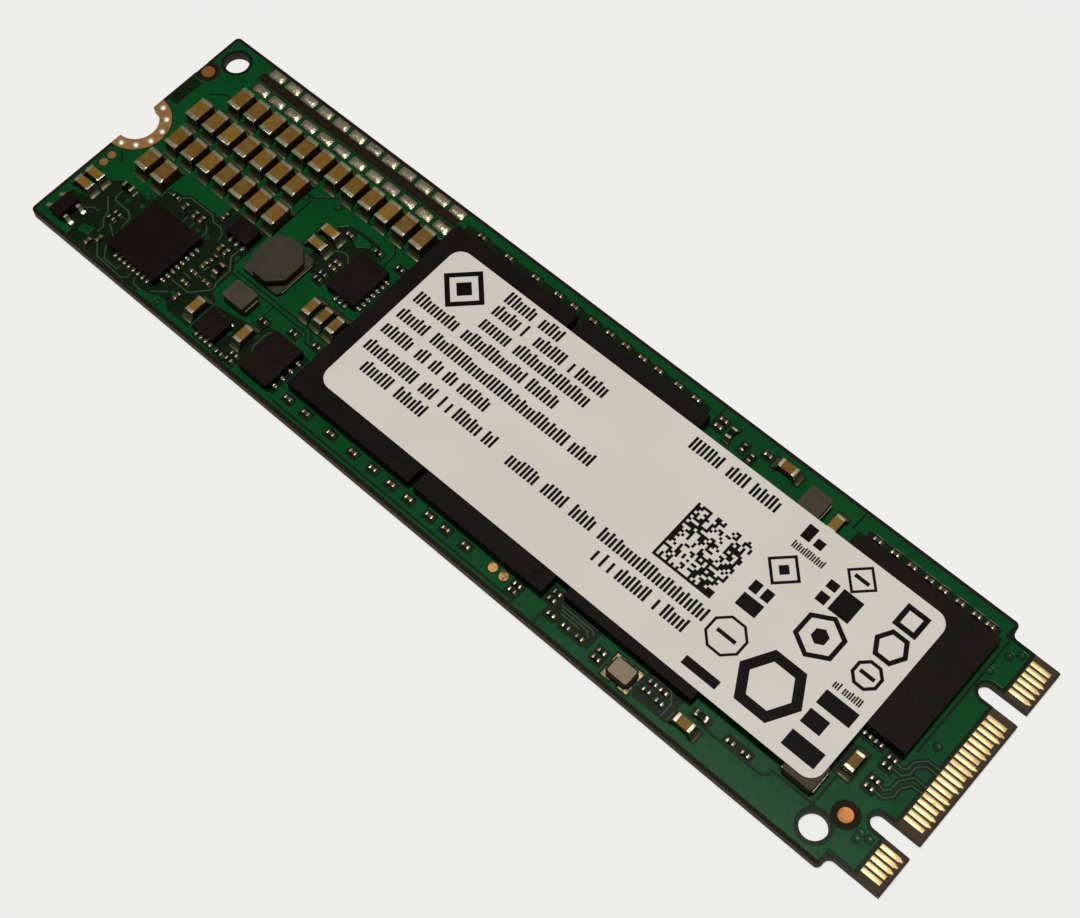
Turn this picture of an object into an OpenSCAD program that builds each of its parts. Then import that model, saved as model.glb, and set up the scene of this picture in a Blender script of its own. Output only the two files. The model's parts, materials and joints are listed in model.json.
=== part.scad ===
// Gumstick solid state drive: a bare card with chips on one side.
// +X points to the edge contacts, +Y to the side of contact 1, and +Z up from the chip side.
// The origin is at the middle of the underside.

/* [Card] */
// Length of the card, along X
card_l = 80; // [80:1:110]
// Width of the card, along Y
card_w = 22; // [22:0.1:24]
// Thickness of the card
card_t = 0.8; // [0.7:0.05:0.9]
// Depth of the copper and contacts let into each face
foil_t = 0.04; // [0.03:0.01:0.06]
// Radius of the card's outer corners
corner_r = 0.4; // [0.2:0.05:0.5]

/* [Contact tongue] */
// Width of the tongue that enters the connector
tongue_w = 19.85; // [19.5:0.05:20]
// Length of the tongue, from its shoulders
tongue_l = 4; // [3.8:0.1:4.5]
// Fillet where the tongue meets the shoulders
tongue_fillet = 0.5; // [0.3:0.05:0.6]
// Length of the bare strip that carries the contacts
bare_l = 2; // [1.8:0.1:2.2]
// Length of the lead-in bevel along the front edge
lead_in_l = 0.3; // [0.2:0.05:0.4]
// Depth of the lead-in bevel on each face
lead_in_t = 0.12; // [0.05:0.01:0.2]
// Width of the two key slots
slot_w = 1.2; // [1.1:0.05:1.3]
// Depth of the two key slots
slot_l = 3.5; // [3.2:0.1:3.6]
// Width of one contact
contact_w = 0.35; // [0.3:0.01:0.38]
// Length of the full-width part of a contact
contact_l = 1.5; // [1.3:0.05:1.6]
// Width of the plating tail in front of a contact
tail_w = 0.18; // [0.1:0.01:0.25]
// Length of the plating tail
tail_l = 0.3; // [0.2:0.02:0.35]

/* [Screw seat] */
// Radius of the half-round screw notch, over its plating
notch_r = 1.75; // [1.7:0.05:1.8]
// Radius of the plated ring round the notch
ring_r = 2.75; // [2.6:0.05:3]
// Thickness of the plating on the notch wall
plating_t = 0.06; // [0.04:0.01:0.1]
// Radius of one solder dot on the ring
seat_dot_r = 0.28; // [0.2:0.02:0.3]

/* [Memory packages] */
// Width of a flash package, along X
flash_w = 12; // [11:0.1:12]
// Length of a flash package, along Y
flash_l = 18; // [17:0.1:18]
// Height of the package tops above the card
package_h = 1.15; // [1.05:0.05:1.3]
// Height of the solder balls under a package
ball_h = 0.25; // [0.2:0.01:0.3]
// Radius of one solder ball
ball_r = 0.21; // [0.18:0.01:0.24]
// Thickness of a package's laminate base
laminate_t = 0.22; // [0.15:0.01:0.3]

/* [Label] */
// Length of the label, along X
label_l = 45; // [40:0.5:46]
// Width of the label, along Y
label_w = 15; // [14:0.5:16]
// Thickness of the label
label_t = 0.08; // [0.05:0.01:0.12]
// Corner radius of the label
label_r = 1.1; // [0.5:0.1:2]

/* [Capacitors] */
// Length, width and height of a storage capacitor
bank_l = 2; // [1.8:0.05:2.1]
// Width of a storage capacitor
bank_w = 1.25; // [1.1:0.05:1.35]
// Height of a storage capacitor
bank_h = 1.25; // [1:0.05:1.35]
// Spacing of the storage capacitors in a row
bank_pitch = 1.77; // [1.7:0.01:1.8]
// Radius of the round edges of a storage capacitor
bank_r = 0.12; // [0.06:0.01:0.15]
// How far the metal ends stand proud of a chip's body
end_skin = 0.02; // [0.01:0.005:0.03]

/* [Hidden] */
$fn = 48;
eps = 0.01;

board_green = [0.05, 0.33, 0.17];
contact_gold = [0.86, 0.72, 0.45];
seat_gold = [0.74, 0.56, 0.36];
solder_grey = [0.8, 0.79, 0.76];
tin_grey = [0.82, 0.8, 0.77];
mould_black = [0.11, 0.08, 0.07];
laminate_brown = [0.2, 0.16, 0.09];
ceramic_brown = [0.55, 0.41, 0.24];
ferrite_grey = [0.29, 0.28, 0.25];
copper_red = [0.68, 0.4, 0.24];
paper_white = [0.85, 0.83, 0.79];

top = card_t;
tip_x = card_l / 2;
shoulder_x = tip_x - tongue_l;
bare_x = tip_x - bare_l;
contact_x = bare_x + 0.08;
back_x = -card_l / 2;
slot_y = [-6.125, 5.625];
// Spacing of neighbouring contacts on one face
contact_pitch = 0.5;
// The place of contact n along Y follows from its number, and odd numbers are on the chip side
function contact_y(n) = (38 - n) * contact_pitch / 2;
top_contacts = [for (n = [1:2:75]) if (n < 12 || (n > 20 && n < 58) || n > 66) n];
bottom_contacts = [for (n = [2:2:74]) if (n < 12 || (n > 18 && n < 60) || n > 66) n];
// Contacts that have no plating tail: the ground contacts and the two at each end
tailless = [1, 3, 21, 27, 33, 39, 45, 51, 57, 73, 75, 2, 4, 70, 72, 74];

tooling_r = 1;
tooling_holes = [[-38.2, 9.1], [34.1, -9.1]];
fiducials = [[-39.3, 7], [35.2, -7.2]];
fiducial_r = 0.54;
fiducial_gap = 0.42;
round_pads = [[-39.05, -3.5], [-39.05, -4.35], [6.5, -9.5], [7.5, -9.5]];
round_pad_r = 0.36;
underside_pads = concat([for (x = [16:1.8:26.8]) [x, 5.2]], [for (x = [16:1.8:23.2]) [x, 3.4]]);
underside_pad_r = 0.42;
seat_dot_angles = [-75, -45, -15, 15, 45, 75];
seat_dot_ring = 2.3;

package_top = top + package_h;
flash_x = [-7.95, 4.5];
controller_at = [17.4, -2.55];
controller_size = [11.2, 11.2];
buffer_at = [29.75, 3.5];
buffer_size = [11.9, 10.6];
base_z = top + ball_h;
mould_z = base_z + laminate_t;
label_at = [10.02, 0.1];

// Each row of storage capacitors: its first X, its Y and how many it has
bank_rows = [[-34.6, 6.35, 12], [-36.3, 3.5, 7], [-35.6, 0.62, 7], [-35.85, -2.3, 2]];
spare_rows = [[-34.75, 10.3, 12], [-34.75, 8.5, 12]];
spare_pad = [1.45, 0.82];
spare_edge_h = 0.05;
spare_crown_r = 0.95;

// A place list holds X, Y and whether the chip lies across the card
mid_size = [1.52, 0.78, 0.8];
mid_places = [[-20.95, 2.4, false], [-20.95, 1, false], [-38.25, -5.75, false], [-38.25, -6.85, false],
    [17.1, 9.6, false], [23.6, -9.55, false], [-23.85, -8.75, true], [-19.45, -8.15, true],
    [-17.35, -3.2, true], [-16.1, -3.2, true], [-14.9, -3.2, true], [22.2, 8.35, true], [33.5, -4.2, true]];
mid_r = 0.08;
small_size = [1, 0.5, 0.5];
small_r = 0.05;
small_places = [[-25.05, -5.35, true], [24.1, -8.35, false], [12.3, 9.2, true], [-35.6, -4.8, false]];
tiny_size = [0.6, 0.3, 0.3];
tiny_end = 0.15;
tiny_capacitors = concat(
    [for (x = [-13.4, -11.6, -9.1, -6.85, -4.9, -3.1, -1.4, 0.6, 2.15, 4.05]) [x, -9.6, false]],
    [for (x = [-12.3, -9.55, -6.85, -4.6, -3.05, -1.2, 0.45, 1.95, 3.55, 5.05, 6.95, 8.6]) [x, 9.78, false]],
    [for (x = [25.05, 26.55, 28, 29.45, 30.6, 32, 33.4, 34.5]) [x, 9.5, false]],
    [[11.2, 9.75, false], [11.2, 9.1, false], [15.3, 9.65, false], [-26.4, -3.9, true],
    [-25.8, -3.9, true], [-29.3, -3.1, true], [-30, -3.1, true], [-31.1, -3.1, true],
    [-26.3, -6.75, false], [-25, -6.75, false], [-26.2, -7.8, false], [-28.2, -1.7, true],
    [-26.2, -5.75, true], [-25.75, -9, true], [-33.9, -9.4, true], [-34.4, -10.1, true],
    [-19.9, 3.35, false], [-18.8, 0.95, false], [-18.85, 0.4, false]]);
tiny_resistors = [[11.85, -9.5, false], [13.2, -9.5, false], [14.4, -9.5, false], [16.2, -9.25, false],
    [16.2, -9.85, false], [20.2, -8.65, false], [21.1, -8.65, false], [20.2, -9.35, false],
    [21.35, -9.4, false], [11.15, -8.65, false], [11.15, -8.05, false],
    [26.6, -8.4, false], [27.85, -8.4, false], [8.7, -9.4, false], [8.7, -9.95, false],
    [33, -2.05, false], [33.9, -2.05, false], [35.2, -2.3, false], [35.2, -2.9, false],
    [35.2, -4.15, false], [35.2, -4.8, false], [-34.5, -6.95, false], [-34.6, -7.55, false],
    [-26.1, -4.9, true], [-18.95, -9.65, false], [-18.95, -10.2, false], [-19.9, -10.3, false],
    [-17, -5.5, false], [-17.2, 3.62, false], [-14.95, 3.65, false], [-14.9, -5.2, false],
    [-19, -0.45, false], [-18.97, -1, false], [13.6, 9, true], [14.5, 8.65, true],
    [-19.4, -6.25, false], [-32.3, -2.95, false]];

// A flat outline with round corners, centred
module rounded_outline(l, w, r) {
    union() {
        square([l - 2 * r, w], center = true);
        square([l, w - 2 * r], center = true);
        for (x = [-1, 1], y = [-1, 1])
            translate([x * (l / 2 - r), y * (w / 2 - r)]) circle(r);
    }
}

// A box that stands on z, centred on a place
module block(at, size, z, h) {
    translate([at[0] - size[0] / 2, at[1] - size[1] / 2, z]) cube([size[0], size[1], h]);
}

// Places its children at a chip's place, and turns them when the chip lies across the card
module at_place(p) {
    translate([p[0], p[1], top]) rotate([0, 0, p[2] ? 90 : 0]) children();
}

// A box that stands on z = 0, with edges of radius r: what three extruded outlines share
module soft_block(size, r) {
    if (r <= 0)
        translate([-size[0] / 2, -size[1] / 2, 0]) cube(size);
    else
        intersection() {
            linear_extrude(size[2]) rounded_outline(size[0], size[1], r);
            translate([0, size[1] / 2, size[2] / 2])
                rotate([90, 0, 0]) linear_extrude(size[1]) rounded_outline(size[0], size[2], r);
            translate([-size[0] / 2, 0, size[2] / 2])
                rotate([90, 0, 90]) linear_extrude(size[0]) rounded_outline(size[1], size[2], r);
        }
}

// The body of a two-ended chip, along X, on z = 0
module chip_body(size, r) {
    translate([0, 0, end_skin]) soft_block([for (s = size) s - 2 * end_skin], r - end_skin);
}

// The two metal ends that wrap a chip's body
module chip_ends(size, r, end) {
    for (side = [-1, 1])
        difference() {
            intersection() {
                soft_block(size, r);
                translate([side * (size[0] - end) / 2 - end / 2, -size[1], -1])
                    cube([end, 2 * size[1], size[2] + 2]);
            }
            chip_body(size, r);
        }
}

// The solder fillets in front of a chip's two ends: hollow quarter rounds, w wide
module chip_solder(size, w, foot) {
    lip = 0.04;
    for (side = [-1, 1])
        translate([side * size[0] / 2, 0, 0])
            rotate([0, 0, side > 0 ? 0 : 180])
                difference() {
                    translate([0, -w / 2, 0]) cube([foot, w, foot + lip]);
                    translate([foot + lip, 0, foot + lip])
                        rotate([90, 0, 0]) cylinder(r = foot, h = w + 2, center = true);
                }
}

// One contact, from its root to its tail, on z
module contact(n, z) {
    translate([contact_x, contact_y(n) - contact_w / 2, z]) cube([contact_l, contact_w, foil_t]);
    if (len(search(n, tailless)) == 0)
        translate([contact_x + contact_l - eps, contact_y(n) - tail_w / 2, z])
            cube([tail_l + eps, tail_w, foil_t]);
}

// The card's outline, with the tongue, its fillets, the slots and the screw notch
module card_outline() {
    difference() {
        union() {
            translate([-tongue_l / 2, 0]) rounded_outline(card_l - tongue_l, card_w, corner_r);
            translate([shoulder_x - 1, -tongue_w / 2]) square([tongue_l + 1, tongue_w]);
            for (side = [-1, 1])
                translate([shoulder_x + tongue_fillet / 2, side * (tongue_w + tongue_fillet) / 2])
                    square(tongue_fillet, center = true);
        }
        for (side = [-1, 1])
            translate([shoulder_x + tongue_fillet, side * (tongue_w / 2 + tongue_fillet)])
                circle(tongue_fillet);
        for (y = slot_y) {
            translate([tip_x - slot_l + slot_w / 2, y]) circle(slot_w / 2);
            translate([tip_x - slot_l + slot_w / 2, y - slot_w / 2]) square([slot_l, slot_w]);
        }
        translate([back_x, 0]) circle(notch_r + plating_t);
    }
}

// The flat part of the plated ring, on one face
module seat_ring(z) {
    intersection() {
        translate([back_x, 0, z])
            difference() {
                cylinder(r = ring_r, h = foil_t);
                translate([0, 0, -1]) cylinder(r = notch_r, h = foil_t + 2);
            }
        translate([back_x, -card_w / 2, -1]) cube([card_w, card_w, card_t + 2]);
    }
}

// The plating of the notch: a ring on each face and the wall between them
module screw_seat() {
    color(seat_gold) {
        seat_ring(0);
        seat_ring(card_t - foil_t);
        intersection() {
            translate([back_x, 0, 0])
                difference() {
                    cylinder(r = notch_r + plating_t, h = card_t);
                    translate([0, 0, -1]) cylinder(r = notch_r, h = card_t + 2);
                }
            translate([back_x, -card_w / 2, -1]) cube([card_w, card_w, card_t + 2]);
        }
    }
}

// The solder dots that the screw's head bears on
module screw_seat_solder() {
    color(solder_grey)
        for (a = seat_dot_angles)
            translate([back_x + seat_dot_ring * cos(a), seat_dot_ring * sin(a), top])
                dome(seat_dot_r, 0.12);
}

// A shallow dome of radius r and height h, cut from a sphere
module dome(r, h) {
    ball = (r * r + h * h) / (2 * h);
    intersection() {
        translate([0, 0, h - ball]) sphere(ball);
        cylinder(r = r + 1, h = h + 1);
    }
}

// The slanted cut along the front edge, on one face
module lead_in_cut() {
    translate([tip_x, 0, card_t])
        rotate([90, 0, 0])
            linear_extrude(card_w + 2, center = true)
                polygon([[-lead_in_l, 0], [1, 1], [1, -lead_in_t], [0, -lead_in_t]]);
}

// Both slanted cuts along the front edge
module lead_in_cuts() {
    lead_in_cut();
    translate([0, 0, card_t]) mirror([0, 0, 1]) lead_in_cut();
}

// The card, with shallow recesses for what is flush with its faces
module circuit_board() {
    color(board_green)
        difference() {
            linear_extrude(card_t) card_outline();
            for (z = [-1, card_t - foil_t])
                translate([bare_x, -card_w / 2, z]) cube([bare_l + 1, card_w, z < 0 ? 1 + foil_t : 1]);
            for (z = [-1, card_t - foil_t])
                translate([back_x, 0, z]) cylinder(r = ring_r, h = z < 0 ? 1 + foil_t : 1);
            for (p = tooling_holes)
                translate([p[0], p[1], -1]) cylinder(r = tooling_r, h = card_t + 2);
            for (p = fiducials)
                translate([p[0], p[1], card_t - foil_t]) cylinder(r = fiducial_r + fiducial_gap, h = 1);
            for (p = round_pads)
                translate([p[0], p[1], card_t - foil_t]) cylinder(r = round_pad_r, h = 1);
            for (p = underside_pads)
                translate([p[0], p[1], -1]) cylinder(r = underside_pad_r, h = 1 + foil_t);
            lead_in_cuts();
        }
}

module edge_contacts_top() {
    color(contact_gold)
        difference() {
            for (n = top_contacts) contact(n, card_t - foil_t);
            lead_in_cuts();
        }
}

module edge_contacts_bottom() {
    color(contact_gold)
        difference() {
            for (n = bottom_contacts) contact(n, 0);
            lead_in_cuts();
        }
}

// A solder ball squashed between the card and the package, as a waisted barrel
module solder_ball(x, y) {
    foot_r = ball_r * 0.72;
    shoulder_h = ball_h * 0.3;
    translate([x, y, top])
        rotate_extrude()
            polygon([[0, 0], [foot_r, 0], [ball_r, shoulder_h], [ball_r, ball_h - shoulder_h],
                [foot_r, ball_h], [0, ball_h]]);
}

// A grid of solder balls, leaving out the places that skip says
module ball_grid(at, columns, rows, pitch) {
    color(solder_grey)
        for (i = columns, j = rows) solder_ball(at[0] + i * pitch, at[1] + j * pitch);
}

// A moulded package on its base, with a round mark at one corner
module package(at, size, mark) {
    color(mould_black)
        difference() {
            block(at, size, mould_z, package_top - mould_z);
            translate([at[0] + mark[0], at[1] + mark[1], package_top - 0.05]) cylinder(r = 0.45, h = 1);
        }
}

module package_base(at, size) {
    color(laminate_brown) block(at, size, base_z, laminate_t);
}

module flash_package(x) {
    package([x, 0], [flash_w, flash_l], [flash_w / 2 - 1.45, 1.15 - flash_l / 2]);
}

module flash_package_left() { flash_package(flash_x[0]); }

module flash_package_right() { flash_package(flash_x[1]); }

module flash_bases() {
    for (x = flash_x) package_base([x, 0], [flash_w, flash_l]);
}

module flash_solder_balls() {
    for (x = flash_x, half = [-1, 1])
        ball_grid([x + half * 3, 0], [-2:2], [-6:6], 1);
}

module controller_package() { package(controller_at, controller_size, [4.2, -4.2]); }

module controller_base() { package_base(controller_at, controller_size); }

module controller_solder_balls() { ball_grid(controller_at, [-6:6], [-6:6], 0.8); }

module buffer_memory_package() { package(buffer_at, buffer_size, [-4.8, -4.2]); }

module buffer_memory_base() { package_base(buffer_at, buffer_size); }

module buffer_memory_solder_balls() {
    for (side = [-1, 1])
        ball_grid([buffer_at[0], buffer_at[1] + side * 3.2], [-6:6], [-1:1], 0.8);
}

// A leadless package's lands and the pad under its middle. Lands stand in rows along its sides
module flat_lands(at, size, along_x, along_y, pad, pitch) {
    for (side = [-1, 1], i = [0:1:along_x - 1])
        block([at[0] + (i - (along_x - 1) / 2) * pitch, at[1] + side * (size[1] - land_in) / 2],
            [land_w, land_in], top, land_h);
    for (side = [-1, 1], i = [0:1:along_y - 1])
        block([at[0] + side * (size[0] - land_in) / 2, at[1] + (i - (along_y - 1) / 2) * pitch],
            [land_in, land_w], top, land_h);
    block(at, pad, top, land_h);
}

// The solder toe in front of one land: a strip that ends in a dome. It runs along X
module solder_toe() {
    translate([-eps, -land_w / 2, 0]) cube([toe_reach, land_w, 0.05]);
    translate([toe_reach, 0, 0]) dome(toe_r, 0.09);
}

// The lands with the solder toes that show around the package
module flat_leads(at, size, along_x, along_y, pad, pitch) {
    color(tin_grey) {
        flat_lands(at, size, along_x, along_y, pad, pitch);
        for (side = [-1, 1], i = [0:1:along_x - 1])
            translate([at[0] + (i - (along_x - 1) / 2) * pitch, at[1] + side * size[1] / 2, top])
                rotate([0, 0, side * 90]) solder_toe();
        for (side = [-1, 1], i = [0:1:along_y - 1])
            translate([at[0] + side * size[0] / 2, at[1] + (i - (along_y - 1) / 2) * pitch, top])
                rotate([0, 0, side > 0 ? 0 : 180]) solder_toe();
    }
}

// A leadless package's body of height h, cut to sit over its lands
module flat_body(at, size, h) {
    color(mould_black)
        difference() {
            block(at, size, top + 0.02, h - 0.02);
            children();
        }
}

// The lands and toes of each leadless package, and its body
land_w = 0.24;
land_in = 0.4;
land_h = 0.2;
toe_reach = 0.17;
toe_r = 0.13;
manager_at = [-30.24, -6.93];
manager_size = [5, 5];
manager_pad = [3.4, 3.4];
module power_manager_leads() { flat_leads(manager_at, manager_size, 8, 8, manager_pad, 0.5); }

module power_manager_body() {
    flat_body(manager_at, manager_size, 0.85) flat_lands(manager_at, manager_size, 8, 8, manager_pad, 0.5);
}

upper_at = [-16.38, 0.7];
upper_size = [2.8, 3.8];
regulator_pad = [1.4, 2.6];
module upper_regulator_leads() { flat_leads(upper_at, upper_size, 3, 7, regulator_pad, 0.5); }

module upper_regulator_body() {
    flat_body(upper_at, upper_size, 0.9) flat_lands(upper_at, upper_size, 3, 7, regulator_pad, 0.5);
}

lower_at = [-16.4, -8.25];
lower_size = [2.8, 3.8];
module lower_regulator_leads() { flat_leads(lower_at, lower_size, 0, 4, regulator_pad, 0.8); }

module lower_regulator_body() {
    flat_body(lower_at, lower_size, 0.9) flat_lands(lower_at, lower_size, 0, 4, regulator_pad, 0.8);
}

small_regulator_at = [-21.7, -9.1];
small_regulator_size = [2, 2];
small_pad = [1.2, 0.7];
module small_regulator_leads() {
    flat_leads(small_regulator_at, small_regulator_size, 4, 0, small_pad, 0.5);
}

module small_regulator_body() {
    flat_body(small_regulator_at, small_regulator_size, 0.8)
        flat_lands(small_regulator_at, small_regulator_size, 4, 0, small_pad, 0.5);
}

switch_at = [-25.85, -1.93];
switch_size = [2.1, 1.64];
switch_pad = [1, 0.6];
module load_switch_leads() { flat_leads(switch_at, switch_size, 3, 0, switch_pad, 0.65); }

module load_switch_body() {
    flat_body(switch_at, switch_size, 0.8) flat_lands(switch_at, switch_size, 3, 0, switch_pad, 0.65);
}

// A block whose four sides slope away from a parting line, on z = 0
module drafted_block(size, waist, draft) {
    intersection_for (turned = [0, 1])
        let (half = size[turned] / 2)
            rotate([90, 0, 90 * turned])
                linear_extrude(max(size[0], size[1]) + 1, center = true)
                    polygon([[draft - half, 0], [half - draft, 0], [half, waist],
                        [half - draft, size[2]], [draft - half, size[2]], [-half, waist]]);
}

// A transistor in a moulded body, with two bent leads on each long side
transistor_at = [-37.85, -9.2];
transistor_size = [1.25, 2, 0.87];
transistor_lift = 0.08;
lead_places = [[1, 0.63], [1, -0.63], [-1, 0.63], [-1, -0.63]];
module transistor_body() {
    color(mould_black)
        translate([transistor_at[0], transistor_at[1], top + transistor_lift])
            drafted_block(transistor_size, 0.42, 0.07);
}

// Each lead leaves the body's parting line, bends down and lies on the card
module transistor_leads() {
    lead_w = 0.34;
    reach = 0.8;
    sheet = 0.13;
    knee_z = transistor_lift + 0.42 + sheet / 2;
    color(tin_grey)
        for (p = lead_places)
            translate([transistor_at[0], transistor_at[1] + p[1], top])
                mirror([p[0] > 0 ? 0 : 1, 0, 0])
                    translate([transistor_size[0] / 2, 0, 0])
                        rotate([90, 0, 0])
                            linear_extrude(lead_w, center = true)
                                polygon([[0.02, knee_z], [0.26, knee_z], [0.42, sheet], [reach, sheet],
                                    [reach, 0], [0.34, 0], [0.18, knee_z - sheet], [0.02, knee_z - sheet]]);
}

// The drum choke: a ferrite drum on a square foot, its winding, and the plated ends of the foot
drum_at = [-22, -2.1];
drum_foot = [4, 4];
drum_foot_t = 0.35;
drum_plate_t = 0.06;
drum_top = [3.5, 4];
drum_top_cut = 1.05;
drum_top_t = 0.32;
drum_h = 1.2;
drum_post_r = 0.95;
coil_turns = 4;

// The foot, the post and the eight-sided head
module drum_choke_core() {
    x = drum_top[0] / 2;
    y = drum_top[1] / 2;
    c = drum_top_cut;
    color(ferrite_grey)
        translate([drum_at[0], drum_at[1], top]) {
            translate([0, 0, drum_plate_t])
                linear_extrude(drum_foot_t)
                    rounded_outline(drum_foot[0] - 2 * drum_plate_t, drum_foot[1], 0.3);
            cylinder(r = drum_post_r, h = drum_h - drum_top_t + eps);
            translate([0.08, 0, drum_h - drum_top_t])
                linear_extrude(drum_top_t)
                    polygon([[x, c - y], [x, y - c], [x - c, y], [c - x, y],
                        [-x, y - c], [-x, c - y], [c - x, -y], [x - c, -y]]);
        }
}

// The turns of wire in the space between foot and head
module drum_choke_winding() {
    low = drum_plate_t + drum_foot_t;
    space = drum_h - drum_top_t - low;
    wire_r = space / coil_turns / 2;
    color(copper_red)
        translate([drum_at[0], drum_at[1], top + low])
            rotate_extrude()
                union() {
                    translate([drum_post_r, 0]) square([0.5, space]);
                    for (i = [0:coil_turns - 1])
                        translate([drum_post_r + 0.5, (2 * i + 1) * wire_r]) circle(wire_r - eps, $fn = 16);
                }
}

// The plating that wraps two sides of the foot
module drum_choke_terminals() {
    color(tin_grey)
        for (side = [-1, 1])
            translate([drum_at[0], drum_at[1], top])
                mirror([side > 0 ? 0 : 1, 0, 0])
                    translate([drum_foot[0] / 2, 0, 0]) {
                        translate([-1, -1.6, 0]) cube([1, 3.2, drum_plate_t]);
                        translate([-drum_plate_t, -1.6, 0]) cube([drum_plate_t, 3.2, 0.3]);
                    }
}

// Moulded chokes: place, size and height
chokes = [[[-21.9, -6.05], [2.3, 1.75], 1], [[20.15, 8.55], [2, 2], 1], [[31.45, -6.75], [2.6, 2.1], 1.08]];
choke_foot_t = 0.08;
// Pressed blocks with round corners and a shallow round mark on top
module moulded_choke_bodies() {
    color(ferrite_grey)
        for (c = chokes)
            difference() {
                translate([c[0][0], c[0][1], top + choke_foot_t])
                    linear_extrude(c[2] - choke_foot_t)
                        rounded_outline(c[1][0] - 2 * choke_foot_t, c[1][1], 0.18);
                translate([c[0][0], c[0][1], top + c[2] - 0.03]) cylinder(r = 0.62, h = 1);
            }
}

// The plating under each end and up its side
module moulded_choke_terminals() {
    color(tin_grey)
        for (c = chokes, side = [-1, 1])
            translate([c[0][0], c[0][1], top])
                mirror([side > 0 ? 0 : 1, 0, 0])
                    translate([c[1][0] / 2, 0, 0]) {
                        translate([-0.7, 0.2 - c[1][1] / 2, 0]) cube([0.7, c[1][1] - 0.4, choke_foot_t]);
                        translate([-choke_foot_t, 0.2 - c[1][1] / 2, 0])
                            cube([choke_foot_t, c[1][1] - 0.4, 0.5]);
                    }
}

// The oscillator: a ceramic tub with notched corners, its metal lid, and four pads
oscillator_at = [18.2, -9.5];
oscillator_size = [2, 1.6];
oscillator_pad_t = 0.08;
oscillator_tub_t = 0.42;
oscillator_notch_r = 0.22;
// Places its children at the tub's four corners
module oscillator_corners() {
    for (x = [-1, 1], y = [-1, 1])
        translate([oscillator_at[0] + x * oscillator_size[0] / 2,
            oscillator_at[1] + y * oscillator_size[1] / 2, 0])
            children();
}

// The ceramic tub, with a round notch down each corner
module oscillator_base() {
    color(laminate_brown)
        difference() {
            block(oscillator_at, oscillator_size, top + oscillator_pad_t, oscillator_tub_t);
            oscillator_corners() cylinder(r = oscillator_notch_r, h = top + 2);
        }
}

// The metal lid, a little smaller than the tub
module oscillator_lid() {
    color(tin_grey)
        translate([oscillator_at[0], oscillator_at[1], top + oscillator_pad_t + oscillator_tub_t])
            linear_extrude(0.2) rounded_outline(oscillator_size[0] - 0.28, oscillator_size[1] - 0.28, 0.2);
}

// Four pads, each past a corner of the tub
module oscillator_pads() {
    color(contact_gold)
        for (x = [-1, 1], y = [-1, 1])
            block([oscillator_at[0] + x * (oscillator_size[0] / 2 - 0.25),
                oscillator_at[1] + y * (oscillator_size[1] / 2 - 0.2)], [0.8, 0.68], top, oscillator_pad_t);
}

// The storage capacitors stand in rows along X, each chip lying across the card
module bank_row(row) {
    for (i = [0:row[2] - 1]) at_place([row[0] + i * bank_pitch, row[1], true]) children();
}

// The ceramic bodies of one row
module bank_bodies(row) {
    color(ceramic_brown) bank_row(row) chip_body([bank_l, bank_w, bank_h], bank_r);
}

module storage_capacitors_outer_row() { bank_bodies(bank_rows[0]); }

module storage_capacitors_second_row() { bank_bodies(bank_rows[1]); }

module storage_capacitors_third_row() { bank_bodies(bank_rows[2]); }

module storage_capacitors_inner_row() { bank_bodies(bank_rows[3]); }

module storage_capacitor_ends() {
    color(tin_grey)
        for (row = bank_rows) bank_row(row) chip_ends([bank_l, bank_w, bank_h], bank_r, 0.36);
}

module storage_capacitor_solder() {
    color(solder_grey)
        for (row = bank_rows) bank_row(row) chip_solder([bank_l, bank_w, bank_h], 1.3, 0.36);
}

// A bar of solder with a crowned top, on a bare pad
module solder_bar(size, edge_h, crown_r) {
    half = size[1] / 2;
    crown_z = edge_h - sqrt(crown_r * crown_r - half * half);
    rotate([90, 0, 90])
        linear_extrude(size[0], center = true)
            intersection() {
                translate([-half, 0]) square([size[1], 1]);
                translate([0, crown_z]) circle(crown_r);
            }
}

// Solder left on the pads of a row of capacitors that isn't fitted
module spare_capacitor_solder() {
    color(solder_grey)
        for (row = spare_rows, i = [0:row[2] - 1])
            translate([row[0] + i * bank_pitch, row[1], top])
                solder_bar(spare_pad, spare_edge_h, spare_crown_r);
}

module mid_capacitor_bodies() {
    color(ceramic_brown)
        for (p = mid_places) at_place(p) chip_body(mid_size, mid_r);
}

module mid_capacitor_ends() {
    color(tin_grey)
        for (p = mid_places) at_place(p) chip_ends(mid_size, mid_r, 0.28);
}

module mid_capacitor_solder() {
    color(solder_grey)
        for (p = mid_places) at_place(p) chip_solder(mid_size, 0.93, 0.44);
}

module small_chip_bodies() {
    color(mould_black)
        for (p = small_places) at_place(p) chip_body(small_size, small_r);
}

module small_chip_ends() {
    color(tin_grey)
        for (p = small_places) at_place(p) chip_ends(small_size, small_r, 0.22);
}

module small_chip_solder() {
    color(solder_grey)
        for (p = small_places) at_place(p) chip_solder(small_size, 0.56, 0.22);
}

module tiny_capacitor_bodies() {
    color(ceramic_brown)
        for (p = tiny_capacitors) at_place(p) chip_body(tiny_size, 0);
}

module tiny_resistor_bodies() {
    color(mould_black)
        for (p = tiny_resistors) at_place(p) chip_body(tiny_size, 0);
}

module tiny_chip_ends() {
    color(tin_grey)
        for (p = concat(tiny_capacitors, tiny_resistors)) at_place(p) chip_ends(tiny_size, 0, tiny_end);
}

module tiny_chip_solder() {
    color(solder_grey)
        for (p = concat(tiny_capacitors, tiny_resistors)) at_place(p) chip_solder(tiny_size, 0.34, 0.12);
}

module fiducial_dots() {
    color(copper_red)
        for (p = fiducials)
            translate([p[0], p[1], card_t - foil_t]) cylinder(r = fiducial_r, h = foil_t);
}

module test_pads() {
    color(copper_red)
        for (p = round_pads)
            translate([p[0], p[1], card_t - foil_t]) cylinder(r = round_pad_r, h = foil_t);
}

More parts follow.
